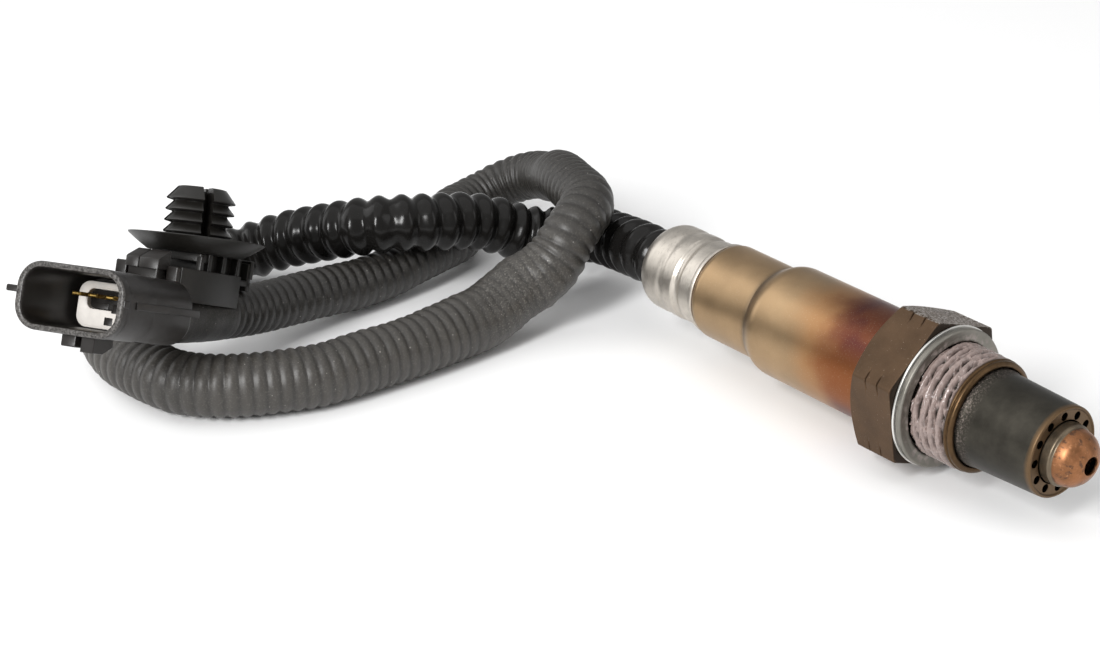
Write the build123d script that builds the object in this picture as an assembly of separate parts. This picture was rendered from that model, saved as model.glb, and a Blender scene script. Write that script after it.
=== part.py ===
"""Exhaust oxygen sensor with its lead, conduit, plug connector and fir-tree clip.

Frame: +X runs along the sensor towards its probe, +Z is up, and the sensor lies with its axis level.
The origin is under the middle of the sensor, on the surface that it lies on.
"s" is a distance along the sensor's axis from the sealing face of the hexagon, positive to the probe.
"""
from build123d import *
import math
import os

# ---- sensor: stations along the axis (s) and radii, mm ----
HEX_ACROSS = 22.0          # spanner size across the flats
HEX_LENGTH = 8.6
HEX_LEAN = 9.4             # how far the top corner leans towards -Y, degrees
HEX_CHAMFER = 30.0         # turned chamfer on the rear corners, degrees
THREAD_RADIUS = 9.0        # M18 thread of 1.5 mm pitch
THREAD_END = 8.0
THREAD_LEAD = 0.6
RELIEF_RADIUS = 8.0
RELIEF_LENGTH = 2.0
CRIMP_LIP_RADIUS = 8.85
CRIMP_LIP_END = 9.4
CLEAR = 0.05               # clearance between pieces that are slipped together

WASHER_RADIUS = 11.15
WASHER_INNER = 8.3
WASHER_THICK = 1.55
WASHER_SHEET = 0.55

TUBE_BASE_RADIUS = 7.67
TUBE_TIP_RADIUS = 7.05
TUBE_WALL = 0.5
TUBE_SHOULDER = 21.7       # where the side starts to turn in
TUBE_FACE = 22.9           # annular face with the gas holes
TUBE_HOLE_CIRCLE = 5.65
TUBE_HOLE_DIAMETER = 1.35
TUBE_HOLE_COUNT = 12

DOME_RADIUS = 4.58
DOME_WALL = 0.4
DOME_NECK_END = 25.1
DOME_TIP = 29.0
DOME_HOLE_RADIUS = 1.4
DOME_BEAD_RADIUS = 4.95
DOME_BEAD_START = 22.95
DOME_BEAD_END = 24.1

SHELL_RADIUS = 9.1
SHELL_REAR_RADIUS = 7.93
SHELL_WALL = 0.6
SHELL_STEP = -33.2
SHELL_STEP_LENGTH = 1.5
SHELL_END = -47.3
SPIGOT_LENGTH = 3.0        # turned spigot of the hexagon inside the shell

CAP_RADIUS = 7.2
CAP_RIM_RADIUS = 7.65
CAP_RIM_LENGTH = 1.1
CAP_WALL = 0.5
CAP_END = -60.8
CAP_EDGE = 1.6             # rounding of the rear edge
CAP_GROOVE_DEPTH = 0.45
CAP_GROOVE_HALF = 0.9
CAP_GROOVES = (-51.6, -55.8)
CAP_TUCK = 3.0             # how far the cap reaches inside the shell

GROMMET_GAP = 5.3          # bare wire between the grommet and the contact holder
WIRE_DIAMETER = 1.7
WIRE_CIRCLE = 2.7
WIRE_COUNT = 4

ELEMENT_RADIUS = 2.9
ELEMENT_TIP = 21.0
ELEMENT_BORE = 1.5
ELEMENT_COLLAR_RADIUS = 5.5
ELEMENT_COLLAR_LENGTH = 4.0
ELEMENT_SEAT = 0.6
ELEMENT_REAR = -26.0
HEATER_RADIUS = 1.35
TALC_LENGTH = 4.0
BUSH_LENGTH = 15.0
HOLDER_RADIUS = 6.9
HOLDER_LENGTH = 16.5
HOLDER_REAR = SHELL_END + 3.8     # just ahead of the cap's tuck
HOLDER_FRONT = HOLDER_REAR + HOLDER_LENGTH
HOLDER_HOLE = 1.2
SPRING_TAIL = 5.0          # how far each spring reaches back into the holder
SPRING_NOSE = 0.6
CONTACT_WIDTH = 1.4
CONTACT_THICK = 0.4

# ---- conduit ----
BLACK_DIAMETER = 9.8
GREY_DIAMETER = 10.0
WRAP_DIAMETER = 10.7
THIN_DIAMETER = 8.6
BEND_SHARE = 0.45          # share of the shorter run that a bend may use
STRAIGHT_END = 6.0         # straight run before the plug's tail

# ---- connector, in its own frame: x across, y up, z out of the mouth ----
PLUG_CENTRE = (-64.78, -99.47, 28.6)
PLUG_YAW = 24.24
PLUG_PITCH = 27.4
PLUG_ROLL = 4.12
SHROUD_WIDTH = 18.7
SHROUD_HEIGHT = 10.2
SHROUD_CORNER = 3.9
SHROUD_WALL = 1.25
SHROUD_DEPTH = 16.0
HOUSING_LENGTH = 21.5
HOUSING_TAPER = 2.6        # the rear end draws in over this length
TAIL_RADIUS = 5.2
TAIL_WALL = 1.2
TAIL_LENGTH = 4.0
TAIL_DROP = 1.0            # the tail sits below the connector's axis
BLOCK_WIDTH = 6.6          # latch block on top, which the clip's plate butts against
BLOCK_HEIGHT = 4.0
BLOCK_LENGTH = 3.0
RAIL_HEIGHT = 1.2          # rounded rail along each side
RAIL_OUT = 0.5
RAIL_START = -3.6
FOOT_DROP = 2.2            # the two keying feet under the mouth
FOOT_BACK = 6.5
INSERT_FACE = -11.6
INSERT_GAP = 1.0
INSERT_RECESS = 2.4
PIN_COUNT = 4
PIN_PITCH = 3.0
PIN_TIP = -8.3
PIN_WIDTH = 1.5
PIN_THICK = 0.6
PIN_ROW = 1.05             # height of the pin row over the connector's axis
PIN_BEVEL = 0.2
SEAL_LENGTH = 3.4

# ---- clip ----
CLIP_BACK = 32.7           # stem's axis behind the mouth
SADDLE_WIDTH = 10.0
SADDLE_LOW = 1.9           # lower edge of the sides that straddle the conduit
SADDLE_PLATE = (5.5, 6.5)  # underside and top of the plate
SADDLE_SPAN = (5.0, -6.6)  # ends of the sides, from the stem's axis
PLATE_END = -10.8
RIB_PLACES = (7.3, 4.2, 0.9, -2.5, -5.8, -9.4)
RIB_WIDTH = 8.4
RIB_THICK = 0.9
SPINE_THICK = 1.6
DISH_BASE = 9.6            # underside of the dish
DISH_BASE_RADIUS = 7.4
DISH_RADIUS = 11.0
DISH_RIM = 12.0
DISH_SHEET = 0.7
STEM_CORE = 4.4
BARB_RADIUS = 5.65
BARB_COUNT = 5
BARB_PITCH = 1.74
BARB_TOP = 18.0            # tips of the topmost barb
BARB_LIP = 0.25
STEM_TOP = 20.1
STEM_TOP_RADIUS = 3.5
SLOT_WIDTH = 1.5           # the two slots that part the stem into four fins

# ---- derived ----
SENSOR_MIDDLE = (DOME_TIP + CAP_END) / 2
HEX_CIRCUM = HEX_ACROSS / math.sqrt(3)
AXIS_HEIGHT = HEX_CIRCUM * max(-math.sin(math.radians(90 + HEX_LEAN + 60 * k)) for k in range(6))
CONDUIT_START = CAP_END + 1.0
SADDLE_FRONT = 0.6 - HOUSING_LENGTH   # where the clip's plate meets the block on the housing


def along(s, y=0.0, z=0.0):
    """A point given by its station on the sensor's axis."""
    return (s - SENSOR_MIDDLE, y, z + AXIS_HEIGHT)


# the lead's route from the sensor to the connector, a list for each stretch
BLACK_ROUTE = [
    along(CONDUIT_START), along(CONDUIT_START - 7.0), (-59.9, 3.2, 10.0), (-69.5, 4.0, 8.7), (-76.2, -2.9, 7.1),
    (-79.5, -12.5, 12.1), (-80.4, -23.0, 14.2), (-84.0, -31.1, 14.9), (-93.0, -35.5, 11.6),
    (-100.9, -38.1, 8.3), (-105.5, -43.4, 5.7), (-107.0, -52.3, 5.0), (-105.3, -63.5, 5.05),
]
GREY_ROUTE = [
    (-100.3, -74.2, 5.1), (-90.3, -79.0, 5.1), (-83.8, -79.8, 5.05), (-78.0, -79.2, 5.05), (-72.0, -78.1, 5.1),
    (-66.4, -73.8, 5.3), (-62.8, -67.6, 5.3), (-59.9, -59.4, 5.1), (-59.4, -51.8, 5.3), (-58.9, -43.1, 5.1),
    (-59.2, -33.6, 5.4),
]
WRAP_ROUTE = [(-59.6, -26.4, 5.7), (-60.0, -20.2, 8.4), (-58.2, -14.5, 10.9)]
THIN_ROUTE = [
    (-58.4, -9.5, 16.7), (-61.4, -2.9, 18.7), (-68.5, -0.3, 18.1), (-77.4, 3.3, 17.1), (-85.5, 9.0, 12.1),
    (-93.6, 12.0, 9.7), (-99.3, 9.3, 7.0), (-101.2, 3.3, 4.45), (-98.6, -6.0, 4.9), (-88.2, -8.5, 5.2),
    (-85.7, -18.9, 5.8), (-84.3, -31.0, 4.45), (-83.8, -44.2, 6.0), (-82.3, -57.7, 7.6),
]


def rotate_about(vector, axis, degrees):
    return vector.rotate(Axis((0, 0, 0), axis), degrees)


def plug_plane():
    """The connector's own frame: tilted up, turned and rolled as it leans on the conduit."""
    yaw, pitch = math.radians(PLUG_YAW), math.radians(PLUG_PITCH)
    mouth = Vector(math.sin(yaw) * math.cos(pitch), -math.cos(yaw) * math.cos(pitch), math.sin(pitch))
    across = rotate_about(Vector(math.cos(yaw), math.sin(yaw), 0), mouth, PLUG_ROLL)
    return Plane(origin=PLUG_CENTRE, x_dir=across, z_dir=mouth)


def turned(profile):
    """A solid turned about the sensor's axis, from (s, r) points."""
    outline = Polyline(*[(s, 0, r) for s, r in profile], close=True)
    solid = revolve(make_face(outline), Axis.X)
    return Pos(*along(0)) * solid


def ring_positions(count, radius, start=0.0):
    """Places evenly round the sensor's axis, as (y, z) pairs."""
    turns = [math.radians(start + 360 / count * k) for k in range(count)]
    return [(radius * math.cos(t), radius * math.sin(t)) for t in turns]


def rod(s_from, s_to, radius, y=0.0, z=0.0):
    """A round bar along the sensor's axis."""
    plane = Plane(origin=along(s_from, y, z), z_dir=(1, 0, 0))
    return extrude(plane * Circle(radius), s_to - s_from)


# ---- sensor pieces ----
def hex_body():
    bore = ELEMENT_COLLAR_RADIUS + CLEAR
    neck = ELEMENT_RADIUS + 0.8
    pocket = TUBE_BASE_RADIUS + CLEAR
    spigot = SHELL_RADIUS - SHELL_WALL - CLEAR
    core = turned([(-HEX_LENGTH - SPIGOT_LENGTH, bore), (-HEX_LENGTH - SPIGOT_LENGTH, spigot),
                   (-HEX_LENGTH, spigot), (-HEX_LENGTH, RELIEF_RADIUS), (RELIEF_LENGTH, RELIEF_RADIUS),
                   (RELIEF_LENGTH + 0.6, THREAD_RADIUS), (THREAD_END - THREAD_LEAD, THREAD_RADIUS),
                   (THREAD_END, THREAD_RADIUS - THREAD_LEAD), (THREAD_END + 0.2, CRIMP_LIP_RADIUS),
                   (CRIMP_LIP_END - 0.6, CRIMP_LIP_RADIUS), (CRIMP_LIP_END, CRIMP_LIP_RADIUS - 0.7),
                   (CRIMP_LIP_END, pocket), (THREAD_END - THREAD_LEAD, pocket),
                   (THREAD_END - THREAD_LEAD, neck), (ELEMENT_SEAT, neck), (ELEMENT_SEAT, bore)])
    plane = Plane(origin=along(-HEX_LENGTH), x_dir=(0, 1, 0), z_dir=(1, 0, 0))
    nut = extrude(plane * RegularPolygon(HEX_CIRCUM, 6, rotation=90 + HEX_LEAN), HEX_LENGTH)
    slope = math.tan(math.radians(HEX_CHAMFER))
    start = HEX_ACROSS / 2 - 0.35
    outer = HEX_CIRCUM + 1
    chamfer = turned([(-HEX_LENGTH, start), (-HEX_LENGTH + (outer - start) * slope, outer),
                      (-HEX_LENGTH - 1, outer), (-HEX_LENGTH - 1, start)])
    front = turned([(0.01, HEX_ACROSS / 2 + 0.35), (-0.45, outer), (0.5, outer), (0.5, HEX_ACROSS / 2 + 0.35)])
    hollow = rod(-HEX_LENGTH - 1, 1, RELIEF_RADIUS - 0.5)
    return core + (nut - chamfer - front - hollow)


def sealing_washer():
    """A folded sheet ring: two leaves joined round the outer edge."""
    t, w = WASHER_SHEET, WASHER_THICK
    mid = (WASHER_RADIUS + WASHER_INNER) / 2
    return turned([(0, WASHER_INNER), (0, WASHER_RADIUS - 0.35), (0.35, WASHER_RADIUS),
                   (w - 0.35, WASHER_RADIUS), (w, WASHER_RADIUS - 0.35), (w, mid - 0.6), (w - t, mid - 0.6),
                   (w - t, WASHER_RADIUS - 0.9), (t, WASHER_RADIUS - 0.9), (t, WASHER_INNER)])


def outer_protection_tube():
    back = THREAD_END + 0.1
    inner_rim = DOME_RADIUS + 0.25
    t = TUBE_WALL
    shell = turned([(back, DOME_RADIUS + CLEAR), (back, TUBE_BASE_RADIUS), (TUBE_SHOULDER, TUBE_TIP_RADIUS),
                    (TUBE_FACE - 0.35, TUBE_TIP_RADIUS - 0.45), (TUBE_FACE, TUBE_TIP_RADIUS - 1.0),
                    (TUBE_FACE, inner_rim), (TUBE_FACE - t, inner_rim), (TUBE_FACE - t, TUBE_TIP_RADIUS - 1.0),
                    (TUBE_SHOULDER - 0.1, TUBE_TIP_RADIUS - t), (back + t, TUBE_BASE_RADIUS - t),
                    (back + t, DOME_RADIUS + CLEAR)])
    for y, z in ring_positions(TUBE_HOLE_COUNT, TUBE_HOLE_CIRCLE, 15):
        shell -= rod(TUBE_FACE - 2, TUBE_FACE + 1, TUBE_HOLE_DIAMETER / 2, y, z)
    return shell


def inner_protection_tube():
    """A drawn cup with a bead round its neck, a domed end and one gas hole."""
    back = THREAD_END - THREAD_LEAD + CLEAR
    flange = TUBE_BASE_RADIUS - 0.1
    steps = 6
    rise = DOME_TIP - DOME_NECK_END
    turns = [math.radians(90 * k / steps) for k in range(steps)]
    outside = [(DOME_NECK_END + rise * math.sin(t), DOME_RADIUS * math.cos(t)) for t in turns]
    inside = [(DOME_NECK_END + (rise - DOME_WALL) * math.sin(t), (DOME_RADIUS - DOME_WALL) * math.cos(t))
              for t in reversed(turns)]
    cup = turned([(back, DOME_RADIUS - DOME_WALL), (back, flange), (back + 0.6, flange),
                  (back + 0.6, DOME_RADIUS), (DOME_BEAD_START, DOME_RADIUS),
                  (DOME_BEAD_START + 0.3, DOME_BEAD_RADIUS), (DOME_BEAD_END - 0.3, DOME_BEAD_RADIUS),
                  (DOME_BEAD_END, DOME_RADIUS)] + outside + [(DOME_TIP, 0), (DOME_TIP - DOME_WALL, 0)] + inside)
    return cup - rod(DOME_TIP - 2, DOME_TIP + 1, DOME_HOLE_RADIUS)


def sensing_element():
    """A ceramic finger, closed at the probe end, with a seating collar."""
    nose = ELEMENT_TIP - ELEMENT_RADIUS
    finger = rod(ELEMENT_REAR, nose, ELEMENT_RADIUS) + Pos(*along(nose)) * Sphere(ELEMENT_RADIUS)
    collar = rod(ELEMENT_SEAT - ELEMENT_COLLAR_LENGTH, ELEMENT_SEAT, ELEMENT_COLLAR_RADIUS)
    return finger + collar - rod(ELEMENT_REAR - 1, nose, ELEMENT_BORE)


def heater_rod():
    return rod(ELEMENT_REAR + 1, ELEMENT_TIP - ELEMENT_RADIUS - 1, HEATER_RADIUS)


def bushing(s_from, s_to, radius):
    """A round bush that slips over the ceramic finger."""
    return rod(s_from, s_to, radius) - rod(s_from - 1, s_to + 1, ELEMENT_RADIUS + CLEAR)


def shell_sleeve():
    front, rear, t = SHELL_RADIUS, SHELL_REAR_RADIUS, SHELL_WALL
    slope_end = SHELL_STEP - SHELL_STEP_LENGTH
    mouth = CAP_RADIUS - 0.5
    return turned([(-HEX_LENGTH, front - t), (-HEX_LENGTH, front), (SHELL_STEP, front), (slope_end, rear),
                   (SHELL_END + 0.7, rear), (SHELL_END + 0.15, rear - 0.25), (SHELL_END, rear - 0.6),
                   (SHELL_END, mouth), (SHELL_END + t, mouth), (SHELL_END + t, rear - t),
                   (slope_end, rear - t), (SHELL_STEP, front - t)])


def crimp_cap():
    """A drawn cap with a rim, two rolled crimp grooves and a rounded rear edge."""
    r, t = CAP_RADIUS, CAP_WALL
    tuck = CAP_RADIUS - 0.5 - CLEAR
    rim_end = SHELL_END - CAP_RIM_LENGTH
    outside = [(SHELL_END + CAP_TUCK, tuck - t), (SHELL_END + CAP_TUCK, tuck), (SHELL_END, tuck),
               (SHELL_END, CAP_RIM_RADIUS), (rim_end, CAP_RIM_RADIUS), (rim_end - 0.3, r)]
    for s in CAP_GROOVES:
        outside += [(s + CAP_GROOVE_HALF, r), (s + 0.3, r - CAP_GROOVE_DEPTH),
                    (s - 0.3, r - CAP_GROOVE_DEPTH), (s - CAP_GROOVE_HALF, r)]
    turns = [math.radians(90 * k / 4) for k in range(5)]
    outside += [(CAP_END + CAP_EDGE - CAP_EDGE * math.sin(a), r - CAP_EDGE + CAP_EDGE * math.cos(a)) for a in turns]
    mouth = BLACK_DIAMETER / 2 + CLEAR
    inner = tuck - t
    return turned(outside + [(CAP_END, mouth), (CAP_END + t, mouth), (CAP_END + CAP_EDGE, inner)])


def grommet():
    """A rubber plug with one hole for each wire."""
    front = HOLDER_REAR - GROMMET_GAP
    radius = CAP_RADIUS - 0.5 - CAP_WALL - 2 * CLEAR
    plug = rod(CONDUIT_START + 1.2, front, radius) + rod(CONDUIT_START, CONDUIT_START + 1.3, BLACK_DIAMETER / 2 - 0.1)
    for y, z in ring_positions(WIRE_COUNT, WIRE_CIRCLE, 45):
        plug -= rod(CONDUIT_START - 1, front + 1, WIRE_DIAMETER / 2, y, z)
    return plug


def contact_holder():
    """A ceramic block with a central hole and a slot for each contact spring."""
    block = rod(HOLDER_REAR, HOLDER_FRONT, HOLDER_RADIUS) - rod(HOLDER_REAR - 1, HOLDER_FRONT + 1, HOLDER_HOLE)
    for y, z in ring_positions(WIRE_COUNT, WIRE_CIRCLE, 45):
        block -= rod(HOLDER_REAR - 1, HOLDER_FRONT + 1, WIRE_DIAMETER / 2 + 0.15, y, z)
    return block


def contact_spring(y, z):
    """A strip of sheet metal that presses on the element; its tail is crimped on the wire."""
    s_from = HOLDER_REAR + SPRING_TAIL
    turn = math.degrees(math.atan2(z, y))
    strip = Box(HOLDER_FRONT - s_from + SPRING_NOSE, CONTACT_THICK, CONTACT_WIDTH)
    strip = Pos((HOLDER_FRONT + SPRING_NOSE - s_from) / 2 + s_from - SENSOR_MIDDLE, 0, 0) * strip
    return Pos(0, y, z + AXIS_HEIGHT) * (Rot(turn, 0, 0) * strip)


def lead_wire(y, z):
    return rod(CONDUIT_START, HOLDER_REAR + SPRING_TAIL, WIRE_DIAMETER / 2 - 0.02, y, z)


# ---- conduit ----
def full_route():
    """The four lists and the last two points, which run straight into the connector's tail."""
    plane = plug_plane()
    tail = plane.origin - plane.y_dir * TAIL_DROP - plane.z_dir * (HOUSING_LENGTH + TAIL_LENGTH)
    near = tail - plane.z_dir * STRAIGHT_END
    points = BLACK_ROUTE + GREY_ROUTE + WRAP_ROUTE + THIN_ROUTE
    return [Vector(*p) for p in points] + [near, tail]


def stretch(before, own, last):
    """Route points of one stretch, from the middle of its first run to the middle of its last run."""
    route = full_route()
    first, stop = len(before), len(before) + len(own)
    start = [(route[first - 1] + route[first]) * 0.5] if before else []
    end = [] if last else [(route[stop - 1] + route[stop]) * 0.5]
    return start + (route[first:] if last else route[first:stop]) + end


def bend_radii(points):
    """The largest bend that fits at each point, from the full runs beside it."""
    route = full_route()
    radii = []
    for point in points[1:-1]:
        k = min(range(len(route)), key=lambda i: (route[i] - point).length)
        before, after = route[k] - route[k - 1], route[k + 1] - route[k]
        half = math.radians(before.get_angle(after)) / 2
        radii.append(BEND_SHARE * min(before.length, after.length) / math.tan(half))
    return radii


def tube_along(points, diameter):
    path = FilletPolyline(*points, radius=bend_radii(points))
    section = Plane(origin=path @ 0, z_dir=path % 0) * Circle(diameter / 2)
    return sweep(section, path=path), path.length


def conduit(name, points, diameter):
    tube, length = tube_along(points, diameter)
    filled = tube.volume / (math.pi * diameter ** 2 / 4) / length
    print(f"{name}: length {length:.1f} mm, volume over section x length {filled:.4f}")
    return tube


# ---- connector ----
def slab(width, height, corner, z_from, z_to, x=0.0, y=0.0):
    """A bar of rounded rectangular section along the connector's axis."""
    plane = Plane.XY.offset(z_from)
    return extrude(plane * Pos(x, y) * RectangleRounded(width, height, corner), z_to - z_from)


def connector_housing():
    """The shroud with its keying feet, side rails, top block and the collar that takes the conduit."""
    w, h = SHROUD_WIDTH, SHROUD_HEIGHT
    shoulder = HOUSING_TAPER - HOUSING_LENGTH
    rear = -HOUSING_LENGTH - TAIL_LENGTH
    body = slab(w, h, SHROUD_CORNER, shoulder, 0)
    body += loft([Plane.XY.offset(shoulder) * RectangleRounded(w, h, SHROUD_CORNER),
                  Plane.XY.offset(-HOUSING_LENGTH) * RectangleRounded(w - 3.0, h - 1.2, SHROUD_CORNER - 0.6)])
    body += extrude(Plane.XY.offset(rear) * Pos(0, -TAIL_DROP) * Circle(TAIL_RADIUS), TAIL_LENGTH + 1)
    body += top_block() + side_rails() + feet()
    cavity = slab(w - 2 * SHROUD_WALL, h - 2 * SHROUD_WALL, SHROUD_CORNER - SHROUD_WALL, -SHROUD_DEPTH, 1)
    bore = extrude(Plane.XY.offset(rear - 1) * Pos(0, -TAIL_DROP) * Circle(TAIL_RADIUS - TAIL_WALL),
                   TAIL_LENGTH + HOUSING_LENGTH - SHROUD_DEPTH)
    return body - cavity - bore


def top_block():
    """The block at the rear of the top, with its upper corners cut off, and the small lug before it."""
    top = SHROUD_HEIGHT / 2
    half, cut = BLOCK_WIDTH / 2, 1.3
    outline = Polyline((-half, top - 1), (half, top - 1), (half, top + BLOCK_HEIGHT - cut),
                       (half - cut, top + BLOCK_HEIGHT), (cut - half, top + BLOCK_HEIGHT),
                       (-half, top + BLOCK_HEIGHT - cut), close=True)
    rear = SADDLE_FRONT
    block = extrude(Plane.XY.offset(rear) * make_face(outline), BLOCK_LENGTH)
    lug = slab(1.9, 3.0, 0.3, -12.6, -11.0, y=top + 0.9)
    return block + lug


def side_rails():
    rails = slab(SHROUD_WIDTH + 2 * RAIL_OUT, RAIL_HEIGHT, RAIL_HEIGHT / 2 - 0.05, -HOUSING_LENGTH + 0.4, RAIL_START,
                 y=0.4)
    return rails + Pos(-SHROUD_WIDTH / 2 - 0.9, 0.5, -1.2) * Box(2.4, 1.0, 1.6)


def feet():
    low = -SHROUD_HEIGHT / 2
    left = slab(3.6, 2 * FOOT_DROP - 1.0, 0.4, -FOOT_BACK, -1.4, x=-0.3, y=low)
    right = slab(4.6, 2 * FOOT_DROP, 0.4, -FOOT_BACK, -1.4, x=4.7, y=low)
    return left + right


def connector_insert():
    """The pale terminal block on the cavity's floor, with a recess round the pins and keying notches."""
    w = SHROUD_WIDTH - 2 * SHROUD_WALL - 2 * INSERT_GAP
    h = SHROUD_HEIGHT - 2 * SHROUD_WALL - INSERT_GAP
    floor = INSERT_FACE - INSERT_RECESS
    block = slab(w, h, 1.6, -SHROUD_DEPTH, INSERT_FACE)
    block -= slab(w - 2.2, 3.0, 0.9, floor, INSERT_FACE + 1, y=PIN_ROW - 0.1)
    for k in range(PIN_COUNT - 1):
        x = (pin_x(k) + pin_x(k + 1)) / 2
        block -= slab(1.3, 1.4, 0.2, floor + 0.8, INSERT_FACE + 1, x=x, y=0.9 - h / 2)
    for k in range(PIN_COUNT):
        block -= Pos(pin_x(k), PIN_ROW, INSERT_FACE - 3) * Box(PIN_WIDTH, PIN_THICK, 12)
    return block


def pin_x(k):
    return (k - (PIN_COUNT - 1) / 2) * PIN_PITCH


def terminal_pin(k):
    """A flat blade with a bevelled tip."""
    back = CLEAR - SHROUD_DEPTH
    blade = Pos(pin_x(k), PIN_ROW, (back + PIN_TIP) / 2) * Box(PIN_WIDTH, PIN_THICK, PIN_TIP - back)
    tip = blade.faces().sort_by(Axis.Z)[-1]
    return chamfer(tip.edges(), PIN_BEVEL)


def wire_seal():
    """A ribbed rubber seal inside the tail."""
    radius = TAIL_RADIUS - TAIL_WALL - CLEAR
    seal = Cylinder(radius - 0.3, SEAL_LENGTH)
    for z in (-SEAL_LENGTH / 3, 0, SEAL_LENGTH / 3):
        seal += Pos(0, 0, z) * Cylinder(radius, 0.5)
    for y, z in ring_positions(WIRE_COUNT, 1.9, 45):
        seal -= Pos(y, z) * Cylinder(WIRE_DIAMETER / 2, SEAL_LENGTH + 1)
    return Pos(0, -TAIL_DROP, -HOUSING_LENGTH) * seal


# ---- clip ----
def fir_tree():
    """The turned stem with its barbs, parted into four fins by two crossed slots."""
    side = [(0, DISH_BASE), (STEM_CORE, DISH_BASE)]
    for k in reversed(range(BARB_COUNT)):
        tip = BARB_TOP - k * BARB_PITCH
        side += [(STEM_CORE, tip - BARB_LIP), (BARB_RADIUS, tip), (BARB_RADIUS - 0.1, tip + BARB_LIP)]
    side += [(STEM_TOP_RADIUS, STEM_TOP), (0, STEM_TOP)]
    stem = revolve(make_face(Polyline(*[(x, y, 0) for x, y in side], close=True)), Axis.Y)
    base = DISH_BASE + DISH_SHEET
    slot = Box(SLOT_WIDTH, STEM_TOP - base, 4 * BARB_RADIUS)
    lift = Pos(0, (STEM_TOP + base) / 2 + 0.3, 0)
    for turn in (45, -45):
        stem -= lift * Rot(0, turn, 0) * slot
    return stem


def dish():
    """A shallow dished disc of even thickness."""
    rim, t = DISH_RIM, DISH_SHEET
    outline = [(0, DISH_BASE), (DISH_BASE_RADIUS, DISH_BASE), (DISH_RADIUS, rim - 0.1), (DISH_RADIUS, rim + 0.2),
               (DISH_RADIUS - 0.4, rim + 0.25), (DISH_BASE_RADIUS - 0.2, DISH_BASE + t), (0, DISH_BASE + t)]
    return revolve(make_face(Polyline(*[(x, y, 0) for x, y in outline], close=True)), Axis.Y)


def saddle():
    """The plate under the dish, its ribs and spine, and the two sides that straddle the conduit."""
    low, high = SADDLE_PLATE
    front, back = CLIP_BACK + SADDLE_FRONT, PLATE_END
    middle = (front + back) / 2
    plate = Pos(0, (low + high) / 2, middle) * Box(RIB_WIDTH, high - low, front - back)
    rise = DISH_BASE + 0.1 - high
    plate += Pos(0, high + rise / 2, middle) * Box(SPINE_THICK, rise, front - back)
    for z in RIB_PLACES:
        plate += Pos(0, high + rise / 2, z) * Box(RIB_WIDTH, rise, RIB_THICK)
    near, far = SADDLE_SPAN
    sides = Pos(0, (SADDLE_LOW + high) / 2, (near + far) / 2) * Box(SADDLE_WIDTH, high - SADDLE_LOW, near - far)
    return plate + sides


def mounting_clip():
    """A push-in clip in one piece, its saddle hollowed where the conduit runs through."""
    clip = Pos(0, 0, -CLIP_BACK) * (dish() + fir_tree() + saddle())
    tube, _ = tube_along(full_route()[-5:], THIN_DIAMETER + 2 * CLEAR)
    return clip - plug_plane().location.inverse() * tube


def write(name, shape):
    shape.label = name
    export_step(shape, f"parts/{name}.step")


def conduits():
    black, grey, wrap, thin = BLACK_ROUTE, GREY_ROUTE, WRAP_ROUTE, THIN_ROUTE
    return {
        "black_conduit": conduit("black_conduit", stretch([], black, False), BLACK_DIAMETER),
        "grey_conduit": conduit("grey_conduit", stretch(black, grey, False), GREY_DIAMETER),
        "conduit_wrap": conduit("conduit_wrap", stretch(black + grey, wrap, False), WRAP_DIAMETER),
        "thin_conduit": conduit("thin_conduit", stretch(black + grey + wrap, thin, True), THIN_DIAMETER),
    }


def main():
    os.makedirs("parts", exist_ok=True)
    talc_front = ELEMENT_SEAT - ELEMENT_COLLAR_LENGTH
    bush_front = talc_front - TALC_LENGTH
    pieces = {
        "hex_body": hex_body(),
        "sealing_washer": sealing_washer(),
        "outer_protection_tube": outer_protection_tube(),
        "inner_protection_tube": inner_protection_tube(),
        "sensing_element": sensing_element(),
        "heater_rod": heater_rod(),
        "talc_seal": bushing(bush_front, talc_front, ELEMENT_COLLAR_RADIUS),
        "ceramic_bush": bushing(bush_front - BUSH_LENGTH, bush_front, ELEMENT_COLLAR_RADIUS),
        "shell_sleeve": shell_sleeve(),
        "crimp_cap": crimp_cap(),
        "cable_grommet": grommet(),
        "contact_holder": contact_holder(),
        **conduits(),
    }
    for k, (y, z) in enumerate(ring_positions(WIRE_COUNT, WIRE_CIRCLE, 45), 1):
        pieces[f"contact_spring_{k}"] = contact_spring(y, z)
        pieces[f"lead_wire_{k}"] = lead_wire(y, z)
    plug = {
        "connector_housing": connector_housing(),
        "connector_insert": connector_insert(),
        "wire_seal": wire_seal(),
        "mounting_clip": mounting_clip(),
    }
    for k in range(PIN_COUNT):
        plug[f"terminal_pin_{k + 1}"] = terminal_pin(k)
    place = plug_plane().location
    pieces.update({name: place * shape for name, shape in plug.items()})
    for name, shape in pieces.items():
        write(name, shape)


main()
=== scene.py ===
"""Finishes of an exhaust oxygen sensor with its conduit lead, plug and push-in clip."""

import math

import bmesh
import bpy
from bpy.props import FloatProperty, FloatVectorProperty, IntProperty, PointerProperty
from mathutils import Matrix, Vector, noise


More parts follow.
